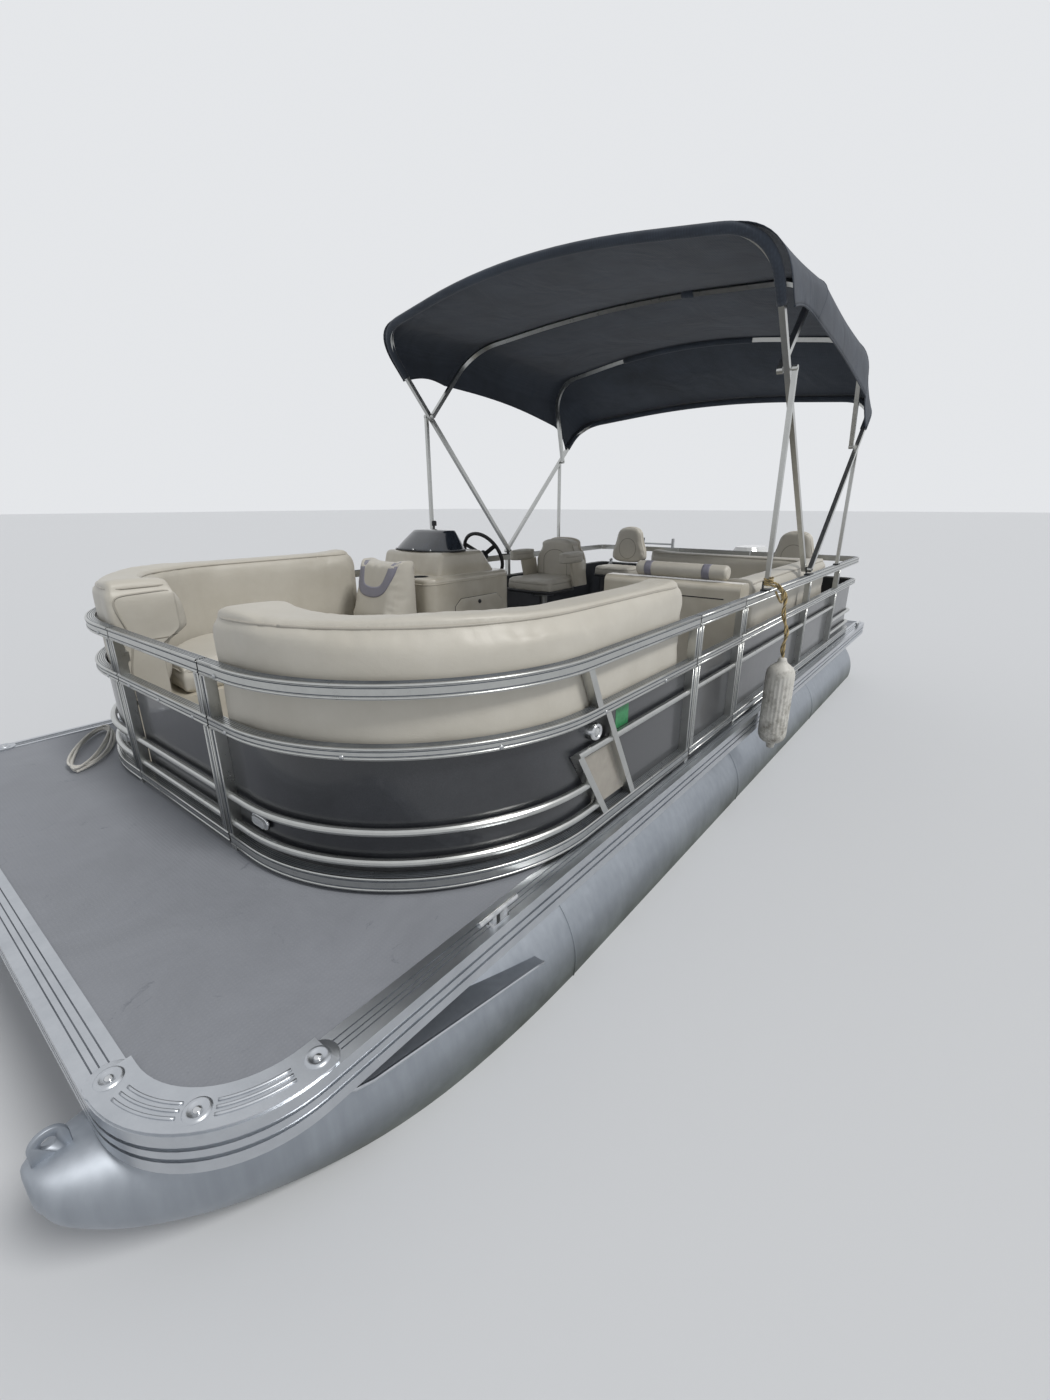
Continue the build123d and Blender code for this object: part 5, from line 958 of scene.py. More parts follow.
def turned(profile, centre, axis=(0, 0, 1), sides=32):
    """A mesh turned on a lathe: a closed profile of (radius, height) round an axis at a centre."""
    builder = bmesh.new()
    way = Vector(axis).normalized()
    u = way.orthogonal().normalized()
    v = way.cross(u)
    rings = []
    for radius, height in profile:
        spot = Vector(centre) + way * height
        rings.append([builder.verts.new(around(spot, u, v, a, radius)) for a in turns(sides if radius > 1e-6 else 1)])
    span(builder, rings)
    return mesh_of(builder, outward=True)


print("tools for rigid parts ready")

# %% Chair plates and the helm chair's shell
PLATE_PROFILE = [(0.0, 0.0), (0.090, 0.0), (0.095, 0.004), (0.095, 0.013), (0.082, 0.016), (0.082, 0.022),
                 (0.093, 0.025), (0.093, 0.032), (0.088, 0.036), (0.0, 0.036)]
chairs = [("helm", HELM, "helm_chair", "helm_chair")]
chairs += [(f"{word}_fishing", spot, f"{word}_fishing_chair", f"{word}_fishing_seat")
           for word, spot in FISHING.items()]
for name, spot, body, node in chairs:
    plate = keep_sharp(link(f"{name}_swivel_plate", turned(PLATE_PROFILE, (*spot, 0.831)), satin_steel), 40)
    settle(plate, body, node)
hard_part("helm_seat_shell", slab(scaled(helm_seat, 0.965), lying(*HELM, 0.866), 0.026), black_abs, "helm_chair",
          "helm_chair", "black_plastic", 0.008, 3)
hard_part("helm_back_shell", slab(scaled(helm_back, 0.955), facing_ahead(HELM[0] - 0.309, HELM[1]), 0.026),
          gel_coat, "helm_chair", "helm_chair", "ivory_moulding", 0.010, 3)
arm_stand = [(-0.300, 0.905), (-0.120, 0.905), (-0.060, 1.112), (-0.255, 1.112)]
for word, hand in reversed(HANDS.items()):
    hard_part(f"helm_{word}_arm_stand", slab(arm_stand, upright(HELM[0] + 0.045, HELM[1] + hand * 0.250 - 0.016),
                                             0.032), gel_coat, "helm_chair", "helm_chair", "ivory_moulding", 0.010, 3)
print("helm chair shell done")

# %% Fishing chair shells and hinges
fishing_shell = rounded([(-0.128, -0.205), (0.115, -0.205), (0.196, -0.183), (0.196, 0.183), (0.115, 0.205),
                         (-0.128, 0.205)])
EAR = [(-0.017, 0.905), (0.056, 0.892), (0.058, 0.960), (0.014, 1.014), (-0.014, 1.014)]
# The back's fold axis lies behind and above the seat's middle, between two ears
FOLD_BACK, FOLD_Z, EAR_OFF, BOLT_OFF = 0.175, 0.999, 0.199, 0.206
BOLT = [(0.0, -0.012), (0.008, -0.011), (0.011, -0.006), (0.011, 0.0), (0.006, 0.001), (0.006, 0.022), (0.0, 0.022)]
for word, (x, y) in FISHING.items():
    seat = f"{word}_fishing_chair", f"{word}_fishing_seat"
    hard_part(f"{word}_fishing_seat_shell", slab(fishing_shell, lying(x, y, 0.866), 0.024), black_abs, *seat,
              "black_plastic", 0.007, 3)
    hard_part(f"{word}_fishing_back_shell", slab(scaled(bell, 0.95), facing_ahead(x - 0.219, y), 0.020), gel_coat,
              f"{word}_fishing_fold", f"{word}_fishing_back", "ivory_moulding", 0.008, 3)
    for turn in (-1, 1):
        end = f"{word}_fishing_{'inner' if turn * y < 0 else 'outer'}"
        hard_part(f"{end}_ear", slab(EAR, upright(x - FOLD_BACK, y + turn * EAR_OFF), 0.006), satin_steel, *seat,
                  "satin_steel", 0.0015)
        bolt = turned(BOLT, (x - FOLD_BACK, y + turn * BOLT_OFF, FOLD_Z), (0, -turn, 0), 12)
        settle(link(f"{end}_bolt", bolt, bright_steel), seat[0], seat[1])
print("fishing chair shells done")

# %% [markdown]
# ## Sewn bands
# The chaise and the headrest have grey violet bands let into the ivory. On the real cover they are panels in
# the same skin. Colouring the pad's own faces would give a stepped edge, so each band is a thin sheet laid on
# the pad: rays from outside find the skin, and the band lies a millimetre above it.

# %% Bands laid on the pads
def laid_band(name, rows, aim, pad_name, lift):
    """A thin sheet through rows of points, each dropped onto a pad the way that aim gives."""
    skin = skin_of(pad_name)
    builder = bmesh.new()
    hits = [[skin.ray_cast(point, aim(point))[:2] for point in row] for row in rows]
    span(builder, [[builder.verts.new(spot + normal * lift) if spot else None for spot, normal in row]
                   for row in hits], closed=False)
    piece = link(name, mesh_of(builder, outward=True), grey_vinyl)
    reworked(piece, "SMOOTH", factor=0.5, iterations=2)
    reworked(piece, "SOLIDIFY", thickness=0.0016)
    settle(piece, "boat", pads[pad_name]["node"])


# The chaise's band is a U, 62 mm wide
U_PATH = [(-0.842, 1.243), (-0.838, 1.180), (-0.824, 1.108), (-0.790, 1.070), (-0.705, 1.058), (-0.630, 1.070),
          (-0.596, 1.108), (-0.566, 1.180), (-0.556, 1.243)]
u_line = even_steps(rope_line([(a, b, 0.0) for a, b in U_PATH]), 0.012)
u_rows = []
for index, point in enumerate(u_line):
    way = heading(u_line, index)
    edge_way = Vector((-way.y, way.x, 0.0))
    row = [point + edge_way * 0.062 * (k / 6 - 0.5) for k in range(7)]
    u_rows.append([Vector((1.4, spot.x, spot.y)) for spot in row])
laid_band("chaise_band", u_rows, lambda point: Vector((-1, 0, 0)), "chaise_pad", 0.0014)
# The headrest's two stripes ring its roll
ROLL_X, ROLL_Z, OFF = 0.135, 1.214, 0.12
for number, middle_y in enumerate((0.640, 0.965), 1):
    ring = [[Vector((ROLL_X + OFF * math.cos(a), middle_y + off_y, ROLL_Z + OFF * math.sin(a)))
             for off_y in (-0.022, -0.011, 0.0, 0.011, 0.022)]
            for a in (math.radians(-62 + 304 * k / 44) for k in range(45))]
    laid_band(f"headrest_stripe_{number}", ring,
              lambda point: Vector((ROLL_X - point.x, 0, ROLL_Z - point.z)).normalized(), "headrest_pad", 0.0012)
print("bands on chaise and headrest")

# %% [markdown]
# ## Canopy
# The canopy is one sheet of charcoal acrylic sewn in three panels, stretched over four square bows. It wraps the
# first and last bow in a sleeve, and a short sleeve holds the middle of the third. A flat grid would look like
# board, so the sheet follows each bow's own line and dips between them, as cloth pulled two ways does. It is
# drawn directly, because a stretched sheet hardly moves in a simulation.

# %% Lines of the bows
def up_lean(spot, lean, height):
    """The X, Z point a height up a line that leans by some degrees from upright."""
    return (spot[0] + height * math.sin(math.radians(lean)), spot[1] + height * math.cos(math.radians(lean)))


# Each bow: where its legs start (X, Z), its lean in degrees, its rise and half its width
CANOPY_HINGE = (-0.850, 1.160)
BOWS = {
    "front": (CANOPY_HINGE, 41.5, 2.060, 1.195),
    "second": (up_lean(CANOPY_HINGE, 41.5, 1.295), -42.0, 0.800, 1.163),
    "third": (up_lean(CANOPY_HINGE, -46.0, 1.083), 13.0, 0.800, 1.195),
    "rear": (CANOPY_HINGE, -46.0, 1.740, 1.229),
}
# The roof falls by SLOPE from its middle, which is rounded within CREST; a shoulder's bend starts SHOULDER away
SLOPE, CREST, SHOULDER = 0.148, 0.665, 0.215


def over_bow(half, rise, drop, count):
    """Evenly spaced (across, height) points from hem to hem over a bow with rounded shoulders."""
    low = rise - SLOPE * half
    level_part = SHOULDER / math.hypot(1, SLOPE)
    leg, roof = (half, low - SHOULDER), (half - level_part, low + SLOPE * level_part)
    bends = (((-half, leg[1]), (-half, low), (-roof[0], roof[1])),
             ((-CREST, rise - SLOPE * CREST), (0, rise), (CREST, rise - SLOPE * CREST)),
             (roof, (half, low), leg))
    run = [(-half, low - drop), *[bend(*corner, k / 12) for corner in bends for k in range(13)], (half, low - drop)]
    line = [Vector((a, b, 0.0)) for a, b in run]
    # A hair less than an even share, so that rounding never loses the last step
    marks = even_steps(line, line_length(line) / (count - 1) * 0.99999)
    return [(p.x, p.y) for p in marks[:count - 1] + [line[-1]]]


def on_bow(bow, half, lift, drop, count):
    """Points in the boat's frame along a line that stands off a bow."""
    spot, lean, rise, _ = BOWS[bow]
    line = []
    for off_y, height in over_bow(half, rise + lift, drop, count):
        x, z = up_lean(spot, lean, height)
        line.append(Vector((x, off_y, z)))
    return line


print("hinge", CANOPY_HINGE, "second bow from", BOWS["second"][0])

# %% Stretched sheet
CLOTH_Y, CLOTH_LIFT, HEM_DROP, ACROSS = 1.2435, 0.0185, 0.330, 97
# Between bows: how far the hem rises, over how many points, how far the sides draw in, how deep pull lines are.
# Within FLAT_HALF of the middle the cloth counts as its top
HEM_RISE, HEM_POINTS, SIDE_DRAW, PULL_DEPTH, FLAT_HALF = 0.030, 9, 0.010, 0.0022, 1.1
cloth_rows = []
for near, far, steps, dip in (("front", "second", 18, 0.016), ("second", "third", 16, 0.020),
                              ("third", "rear", 13, 0.018)):
    first, last = (on_bow(bow, CLOTH_Y, CLOTH_LIFT, HEM_DROP, ACROSS) for bow in (near, far))
    for step in range(steps + (far == "rear")):
        share = step / steps
        hollow = math.sin(math.pi * share)
        row = []
        for index, (a, b) in enumerate(zip(first, last)):
            point = a.lerp(b, share)
            top = max(0.0, 1 - (abs(point.y) / FLAT_HALF) ** 4)
            edge = max(0.0, 1 - min(index, ACROSS - 1 - index) / HEM_POINTS)
            point.z += -dip * hollow * top + HEM_RISE * hollow * edge ** 2
            point.y -= math.copysign(SIDE_DRAW * hollow * (1 - top), point.y)
            # Slight pull lines fan out from the shoulders
            pull = math.sin(34 * point.y + 9 * share) * math.sin(3.1 * share * math.pi) * (1 - top) * top * 4
            point.z += PULL_DEPTH * pull
            row.append(point)
        cloth_rows.append(row)
builder = bmesh.new()
span(builder, [[builder.verts.new(p) for p in row] for row in cloth_rows], closed=False)
builder.normal_update()
canopy = reworked(link("canopy_sheet", mesh_of(builder), canopy_acrylic), "SOLIDIFY", thickness=0.0022, offset=0.0)
print("canopy rows", len(cloth_rows), "across", ACROSS)

# %% Hem, sleeves and their stitching
def sewn(name, lines, radius, body, sides):
    """Rolled cloth along rows of points, as part of the canopy."""
    return tube_piece(name, lines, radius, canopy_acrylic, body, sides, "bimini_canopy")


sleeves = []
for bow, name, low, high, radius in (
        ("front", "front_sleeve", 0, 120, 0.0225), ("rear", "rear_sleeve", 0, 120, 0.0215),
        ("third", "third_sleeve", 39, 81, 0.0205), ("second", "second_loop", 78, 81, 0.0205)):
    run = on_bow(bow, BOWS[bow][3], 0.0, 0.30, 121)[low:high + 1]
    sleeves.append(sewn(f"canopy_{name}", [run], radius, "boat" if bow == "rear" else f"{bow}_bow", 12))
    for face in sleeves[-1].data.polygons:
        face.use_smooth = True
hem = sewn("canopy_hem", [[row[end] for row in cloth_rows] for end in (0, -1)], 0.0042, None, 8)
seams = [sewn(f"canopy_{bow}_seam", [on_bow(bow, CLOTH_Y, 0.0215, HEM_DROP, ACROSS)], 0.0022, None, 6)
         for bow in ("second", "third")]
settle(canopy, None, "bimini_canopy")
# The sheet, its hem and its seams have no body, and their places are baked into their meshes
for piece in (*seams, canopy, hem):
    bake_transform(piece)

# %% [markdown]
# ## Rails, ribs, screws and castings
# The rails are extrusions: a lip runs along their top and bottom edges, with a dull groove beside it, and fine
# grooves lie on their upper side. Cutting them into the model's own mesh isn't needed, because a thin bead half
# sunk in the face catches the light in the same way. Screw heads, cast flutes and weld beads use the same idea.
# The grooves are thin dark tubes instead: painted shade.

# %% Slimmer second and bottom rails
# The real second rail is 35 mm tall and sits higher; the bottom one is 44 mm tall. Edges move in a copy of each
# frame, along the slant where a divider crosses them, and the panels' upper edge rises with the rail
EDGE_MOVES = {0.852: 0.067, 0.922: 0.032, 0.578: -0.022}
SLANTS = {0.852: ((1.50, 1.58, 0.5556),), 0.922: ((1.57, 1.66, 0.4767),),
          0.578: ((1.35, 1.43, 0.5556), (1.53, 1.63, 0.6449))}
PANEL_RISE, SAME, SIDE_FACE = 0.032, 2e-4, 1.20
GATES = ("bow_gate", "side_gate", "stern_gate")


def moved_copy(name, ending, body, finish, move):
    """A copy of a node's mesh that stands for it, each of its points put through move."""
    shape = nodes[name].data.copy()
    for vertex in shape.vertices:
        vertex.co = move(vertex.co.copy())
    return settle(link(f"{name}_{ending}", shape, finish), body, name)


def to_slim(spot):
    """A point moved up or down if it lies on an edge of a rail, along the slant of a divider."""
    for edge, rise in EDGE_MOVES.items():
        if abs(spot.z - edge) < SAME:
            slants = [slant for low, high, slant in SLANTS[edge] if low < spot.x < high and abs(spot.y) > SIDE_FACE]
            return spot + Vector((rise * slants[0] if slants else 0.0, 0.0, rise))
    return spot


for name, body in [(f"{word}_{end}_fence", "boat") for end in ("bow", "aft") for word in HANDS] + [
        (f"{gate}_frame", gate) for gate in GATES]:
    moved_copy(name, "slim", body, fence_metal, to_slim)
for name, body in [("fence_panels", "boat")] + [(f"{gate}_panel", gate) for gate in GATES]:
    top = max(vertex.co.z for vertex in nodes[name].data.vertices) - SAME
    moved_copy(name, "tall", body, charcoal_skin,
               lambda spot: spot + Vector((0.0, 0.0, PANEL_RISE if spot.z > top else 0.0)))
print("rails slimmed by", EDGE_MOVES)

# %% Lines round the fence
FENCE_X, FENCE_Y, FENCE_BACK_X, ROUND, STERN_ROUND = 2.425, 1.245, -2.470, 0.750, 0.090
RAILS = {"top": (1.085, 1.128), "second": (0.919, 0.954), "bottom": (0.512, 0.556)}


def round_corner(hand, start_x, end_y, inset, height, stern=False):
    """Points along the fence from start_x on one side, round its bow or stern corner, to end_y athwart."""
    face, size, way, steps, lead = ((FENCE_BACK_X, STERN_ROUND, -1, 8, 0.2) if stern
                                    else (FENCE_X, ROUND, 1, 30, 0.4))
    centre_x, centre_y, radius = face - way * size, FENCE_Y - size, size - inset
    run = [(start_x, FENCE_Y - inset), (centre_x - way * lead, FENCE_Y - inset)]
    run += [(centre_x + way * radius * math.sin(a), centre_y + radius * math.cos(a))
            for a in (math.pi / 2 * k / steps for k in range(steps + 1))]
    return [Vector((x, hand * y, height)) for x, y in run + [(face - way * inset, end_y)]]


def rib_places(low, high):
    """Inset, height, radius and finish of each line on a rail: 0 for a bright lip, 1 for a groove in painted shade.
    """
    return [(0.0012, high - 0.0045, 0.0038, 0), (0.0004, high - 0.0110, 0.0017, 1),
            (0.0012, low + 0.0045, 0.0038, 0), (0.0004, low + 0.0110, 0.0017, 1),
            *[(inset, high - 0.0001, 0.0011, 1) for inset in (0.0075, 0.0145, 0.0215, 0.0275)]]


def post_lines(spot, way):
    """Lips and grooves up a post's face, between its rails, at offsets along the fence."""
    return [([Vector((spot.x + way.x * off, spot.y + way.y * off, z)) for z in ends], radius, finish)
            for off, radius, finish in ((-0.0130, 0.0026, 0), (-0.0020, 0.0011, 1), (0.0020, 0.0011, 1),
                                        (0.0130, 0.0026, 0)) for ends in ((0.560, 0.916), (0.957, 1.082))]


def ribs(name, rows, body):
    """Bright lips, and grooves in painted shade, as one piece."""
    settle(tubes(name, rows, 6, fence_metal, groove_shade), body)


# The port side has its gate between 0.880 and 0.340
for word, hand in HANDS.items():
    aft_start = 0.339 if word == "port" else 0.8785
    ribs(f"{word}_fence_ribs", [(line, radius, finish) for low, high in RAILS.values()
                                for inset, height, radius, finish in rib_places(low, high)
                                for line in (round_corner(hand, 0.881, 0.3685, inset, height),
                                             round_corner(hand, aft_start, 0.3525, inset, height, stern=True))],
         "boat")
print("fence ribs on", list(HANDS))

# %% Ribs on gates and posts
GATE_FOOT, POST_INSET = 0.520, 0.016
GATE_RUNS = {  # body: start and end of the gate's outer face, and the way inward from it
    "bow_gate": ((FENCE_X, -0.360), (FENCE_X, 0.360), (-1, 0)),
    "side_gate": ((0.872, FENCE_Y), (0.348, FENCE_Y), (0, -1)),
    "stern_gate": ((FENCE_BACK_X, -0.344), (FENCE_BACK_X, 0.344), (1, 0)),
}
for body, (start, end, inward) in GATE_RUNS.items():
    start, end, inward = Vector(start), Vector(end), Vector(inward)
    rows = [([Vector((*(spot + inward * inset), height)) for spot in (start, end)], radius, finish)
            for low, high in RAILS.values()
            for inset, height, radius, finish in rib_places(max(low, GATE_FOOT), high)]
    way = (end - start).normalized()
    for foot in (start + way * POST_INSET, end - way * POST_INSET):
        rows += post_lines(foot + inward * 0.0006, way)
    ribs(f"{body}_ribs", rows, body)
posts = [(FENCE_X, hand * 0.384, (0, 1)) for hand in (-1, 1)] + [(x, FENCE_Y, (1, 0)) for x in (0.896, 0.324)]
posts += [(x, hand * FENCE_Y, (1, 0)) for x in (-0.866, -1.700) for hand in (-1, 1)]
posts += [(FENCE_BACK_X, hand * 0.368, (0, 1)) for hand in (-1, 1)]
ribs("post_ribs", [row for x, y, way in posts for row in post_lines(Vector((x, y)), Vector(way))], "boat")
print("gate ribs done")

# %% Screws
def lathed(name, shapes, finish, body):
    """Several turned shapes, each with its profile, centre, axis and sides, as one piece."""
    builder = bmesh.new()
    for shape in shapes:
        blank = turned(*shape)
        builder.from_mesh(blank)
        bpy.data.meshes.remove(blank)
    return settle(link(name, mesh_of(builder), finish), body)


def screw_heads(name, spots, radius, height, finish, body):
    """Domed heads at (centre, way out) spots, as one piece."""
    dome = [(0.0, height), (radius * 0.30, height * 0.92), (radius * 0.72, height * 0.72), (radius, height * 0.18),
            (radius, -0.001), (0.0, -0.001)]
    lathed(name, [(dome, centre, way, 12) for centre, way in spots], finish, body)


SCREW_Z, WALK = 0.9270, 0.005
spots = []
for hand in HANDS.values():
    # One row along the second rail, and one screw at the bow end of the top rail
    for height, pitch, first in ((SCREW_Z, 0.43, 0.05), (1.0965, math.inf, 0.045)):
        line = round_corner(hand, 0.93, 0.42, 0.0, height)[::-1]
        walked = even_steps(line, WALK)
        at = first
        while at < line_length(line):
            index = min(int(at / WALK), len(walked) - 2)
            way = (walked[index + 1] - walked[index]).normalized()
            out = Vector((way.y, -way.x, 0))
            if out.dot(walked[index] - Vector((0.9, 0, height))) < 0:
                out = -out
            spots.append((tuple(walked[index]), tuple(out)))
            at += pitch
    spots += [((x, hand * FENCE_Y, SCREW_Z), (0, hand, 0)) for x in (0.20, -0.45, -1.05, -1.65, -2.25)]
screw_heads("fence_screws", spots, 0.0078, 0.0050, satin_steel, "boat")
screw_heads("bow_gate_screws", [((FENCE_X, y, SCREW_Z), AHEAD) for y in (-0.26, 0.0, 0.26)], 0.0078, 0.0050,
            satin_steel, "bow_gate")
print("screws", len(spots))

# %% Cast corners
CASTING_Z, MID_R = 0.5090, 0.267
BOSS = [(0.0, 0.0012), (0.013, 0.0012), (0.016, 0.0036), (0.020, 0.0044), (0.024, 0.0036), (0.027, -0.001),
        (0.0, -0.001)]
END_PAD = [(0.0, -0.0004), (0.0395, -0.0004), (0.0425, -0.0020), (0.0425, -0.0052), (0.0, -0.0052)]
flutes, bosses, heads = [], [], []
for hand in HANDS.values():
    centre = Vector((2.690, hand * 0.985, CASTING_Z))


    def cast_point(degrees, radius, centre=centre, hand=hand):
        """A point on the casting's top at an angle from straight ahead towards the side."""
        turn = math.radians(degrees)
        return centre + Vector((math.cos(turn), hand * math.sin(turn), 0)) * radius


    flutes += [[cast_point(first + (last - first) * k / 12, radius) for k in range(13)]
               for radius in (0.281, MID_R, 0.253) for first, last in ((9, 38), (52, 81))]
    for spot, at_end in ((cast_point(45, MID_R), False), (centre + Vector((MID_R, -hand * 0.008, 0)), True),
                         (centre + Vector((-0.008, hand * MID_R, 0)), True)):
        bosses.append((BOSS, spot, UP, 28))
        bosses += [(END_PAD, spot, UP, 40)] if at_end else []
        heads.append((spot + Vector((0, 0, 0.0012)), UP))
tube_piece("casting_flutes", flutes, 0.0034, trim_metal, "boat")
keep_sharp(lathed("casting_bosses", bosses, trim_metal, "boat"), 50)
screw_heads("casting_screws", heads, 0.0085, 0.0035, bright_steel, "boat")
print("flutes", len(flutes), "boss parts", len(bosses))

# %% Lines along the deck trim
TRIM_Z, HALF_LENGTH, HALF_BEAM = 0.5040, 3.000, 1.295
trim_lines = []
for inset in (0.026, 0.040, 0.056):
    trim_lines += [[Vector((x, hand * (HALF_BEAM - inset), TRIM_Z)) for x in (-2.930, 0.0, 2.640)]
                   for hand in HANDS.values()]
    trim_lines += [[Vector((end * (HALF_LENGTH - inset), y, TRIM_Z)) for y in (-reach, 0.0, reach)]
                   for end, reach in ((1, 0.935), (-1, 1.225))]
# The grooves along the trim are dark lines of painted shade
tube_piece("trim_lines", trim_lines, 0.0014, groove_shade, "boat", 6)
print("trim lines", len(trim_lines))

# %% [markdown]
# ## Pontoons
# Each tube is rolled sheet with welded seams and a pressed nose. The nose of the model is faceted, so the tube
# is drawn anew through the same rings with finer steps. A strake, a keel, a tow plate and two saddle rails are
# welded to it.

# %% Smooth pontoons
TUBE_Y, TUBE_Z, TUBE_R, TUBE_SIDES = 0.955, 0.065, 0.305, 112
NOSE_START, NOSE_END, TUBE_END = 1.750, 3.110, -2.920
# Share of the nose's length, rise of its middle and share of its radius
NOSE_SHAPE = ((0.0, 0.0, 1.0), (0.20, 0.010, 0.975), (0.42, 0.040, 0.905), (0.62, 0.088, 0.775),
              (0.79, 0.150, 0.605), (0.91, 0.215, 0.425), (0.98, 0.268, 0.255), (1.0, 0.296, 0.150))
STRAKE_LINE = ((1.935, 0.202), (2.600, 0.349), (2.676, 0.416))
TOW_HOLE, TOW_R = (3.062, 0.440), 0.032


def smooth_through(rows, steps):
    """Points on a smooth line through rows of numbers."""
    line = []
    for k in range(len(rows) - 1):
        before, here = Vector(rows[max(k - 1, 0)]), Vector(rows[k])
        after, beyond = Vector(rows[k + 1]), Vector(rows[min(k + 2, len(rows) - 1)])
        for t in (step / steps for step in range(steps)):
            line.append(0.5 * (2 * here + (after - before) * t + (2 * before - 5 * here + 4 * after - beyond) * t * t
                               + (3 * here - before - 3 * after + beyond) * t ** 3))
    return line + [Vector(rows[-1])]


BODY_START = TUBE_END + 0.034
stations = [(TUBE_END + x, 0.0, size) for x, size in ((0.0, 0.86), (0.004, 0.915), (0.024, 0.994), (0.034, 1.0))]
stations += [(BODY_START + (NOSE_START - BODY_START) * k / 12, 0.0, 1.0) for k in range(1, 12)]
stations += [(NOSE_START + (NOSE_END - 0.006 - NOSE_START) * share, rise, size)
             for share, rise, size in smooth_through(NOSE_SHAPE, 6)]
stations += [(NOSE_END - 0.002, 0.298, 0.125), (NOSE_END, 0.299, 0.08)]
strake = [*STRAKE_LINE, *[(x, z - 0.007) for x, z in reversed(STRAKE_LINE)]]
keel = [(TUBE_END + 0.060, -0.262), (NOSE_START - 0.02, -0.262), (NOSE_START, -0.250), (NOSE_START, -0.228),
        (TUBE_END + 0.060, -0.228)]
tow_plate = [(3.030, 0.372), (3.094, 0.372)] + [(TOW_HOLE[0] + TOW_R * math.cos(a), 0.436 + TOW_R * math.sin(a))
                                                for a in (math.pi * k / 12 for k in range(13))]
# Name: outline, start and thickness outboard of the tube's middle, bevel and its steps
WELDED = {"strake": (strake, 0.0, TUBE_R, 0.002, 2), "keel": (keel, -0.012, 0.024, 0.004, 2),
          "tow_plate": (tow_plate, -0.005, 0.010, 0.002, 2)}
SADDLE_AFT, SADDLE_FORE, SADDLE_TOP = TUBE_END + 0.040, 2.860, 0.432
for end, web, foot in (("inner", -0.078, -0.104), ("outer", 0.070, 0.070)):
    for part, start, wide, low in (("web", web, 0.008, 0.340), ("foot", foot, 0.034, 0.426)):
        outline = [(SADDLE_AFT, low), (SADDLE_FORE, low), (SADDLE_FORE, SADDLE_TOP), (SADDLE_AFT, SADDLE_TOP)]
        WELDED[f"saddle_{part}_{end}"] = (outline, start, wide, 0.001, 1)
for word, hand in HANDS.items():
    builder = bmesh.new()
    rings = [[builder.verts.new((x, hand * TUBE_Y + TUBE_R * size * math.sin(a),
                                 TUBE_Z + rise + TUBE_R * size * math.cos(a))) for a in turns(TUBE_SIDES)]
             for x, rise, size in stations]
    span(builder, rings)
    for cap in (rings[0], rings[-1]):
        builder.faces.new(cap)
    hull = [link(f"{word}_tube", mesh_of(builder, outward=True), hull_sheet)]
    for part, (outline, start, wide, edge, segments) in WELDED.items():
        blank = slab(outline, upright(0.0, hand * (TUBE_Y + start), hand), wide)
        hull.append(with_bevel(f"{word}_{part}", blank, edge, segments, hull_sheet))
        if part == "tow_plate":
            bored(hull[-1], turned([(0.0, -0.03), (0.012, -0.03), (0.012, 0.03), (0.0, 0.03)],
                                   (TOW_HOLE[0], hand * TUBE_Y, TOW_HOLE[1]), (0, 1, 0)))
    for piece in hull:
        settle(piece, "boat", f"{word}_pontoon")
    edge_line = [Vector((x, hand * (TUBE_Y + TUBE_R), z - 0.0035)) for x, z in STRAKE_LINE]
    tube_piece(f"{word}_strake_edge", [even_steps(edge_line, 0.05)], 0.0046, trim_metal, "boat")
print("smooth pontoons done")

# %% Weld beads on the tubes
WELD_R = TUBE_R + 0.0003
for word, hand in HANDS.items():
    welds = [[Vector((x, hand * TUBE_Y + WELD_R * math.sin(a), TUBE_Z + WELD_R * math.cos(a)))
              for a in (2 * math.pi * k / 72 for k in range(73))] for x in (NOSE_START, 0.150, -1.450)]
    tube_piece(f"{word}_weld_beads", welds, 0.0030, hull_sheet, "boat", 6)
print("weld beads done")

# %% [markdown]
# ## Fender
# The fender is a blown vinyl bottle with a rope eye at each end and grip ribs down its middle. A lathe form
# gives the bottle, and the ribs come from a ripple in its radius that fades out at the shoulders.

# %% Fender body
FENDER, RIPPLES, RIPPLE_DEPTH = (0.070, 1.373), 22, 0.0026
RIPPLED_FROM, RIPPLED_TO, RIPPLE_FADE = 0.410, 0.724, 0.02
FENDER_SHAPE = ((0.318, 0.010), (0.322, 0.019), (0.340, 0.022), (0.350, 0.027), (0.358, 0.045), (0.372, 0.060),
                (0.392, 0.068), (0.412, 0.070), (0.430, 0.070), (0.560, 0.070), (0.700, 0.070), (0.722, 0.070),
                (0.742, 0.067), (0.760, 0.057), (0.774, 0.041), (0.784, 0.027), (0.796, 0.021), (0.808, 0.019),
                (0.812, 0.010))
builder = bmesh.new()
rings = []
for height, radius in FENDER_SHAPE:
    held = clamped(min((height - RIPPLED_FROM) / RIPPLE_FADE, (RIPPLED_TO - height) / RIPPLE_FADE))
    rings.append([])
    for angle in turns(132):
        # The ripple dies away on one side, where such a bottle is plain
        plain = 0.5 + 0.5 * math.tanh(6 * (abs(math.sin(angle / 2 + 0.7)) - 0.45))
        wavy = radius - RIPPLE_DEPTH * held * plain * (0.5 - 0.5 * math.cos(RIPPLES * angle))
        rings[-1].append(builder.verts.new((FENDER[0] + wavy * math.cos(angle), FENDER[1] + wavy * math.sin(angle),
                                            height)))
span(builder, rings)
for cap in (rings[0][::-1], rings[-1]):
    builder.faces.new(cap)
settle(link("fender_body", mesh_of(builder), fender_vinyl), "boat", "fender")
print("fender ribs", RIPPLES)

# %% [markdown]
# ## Console and small fittings
# The console is one cream moulding. A storage door is let into its port side, a moulding line runs under its
# top, and gauges sit on the slope that faces the helm. A blank decal and the round lamps stay on the fence.

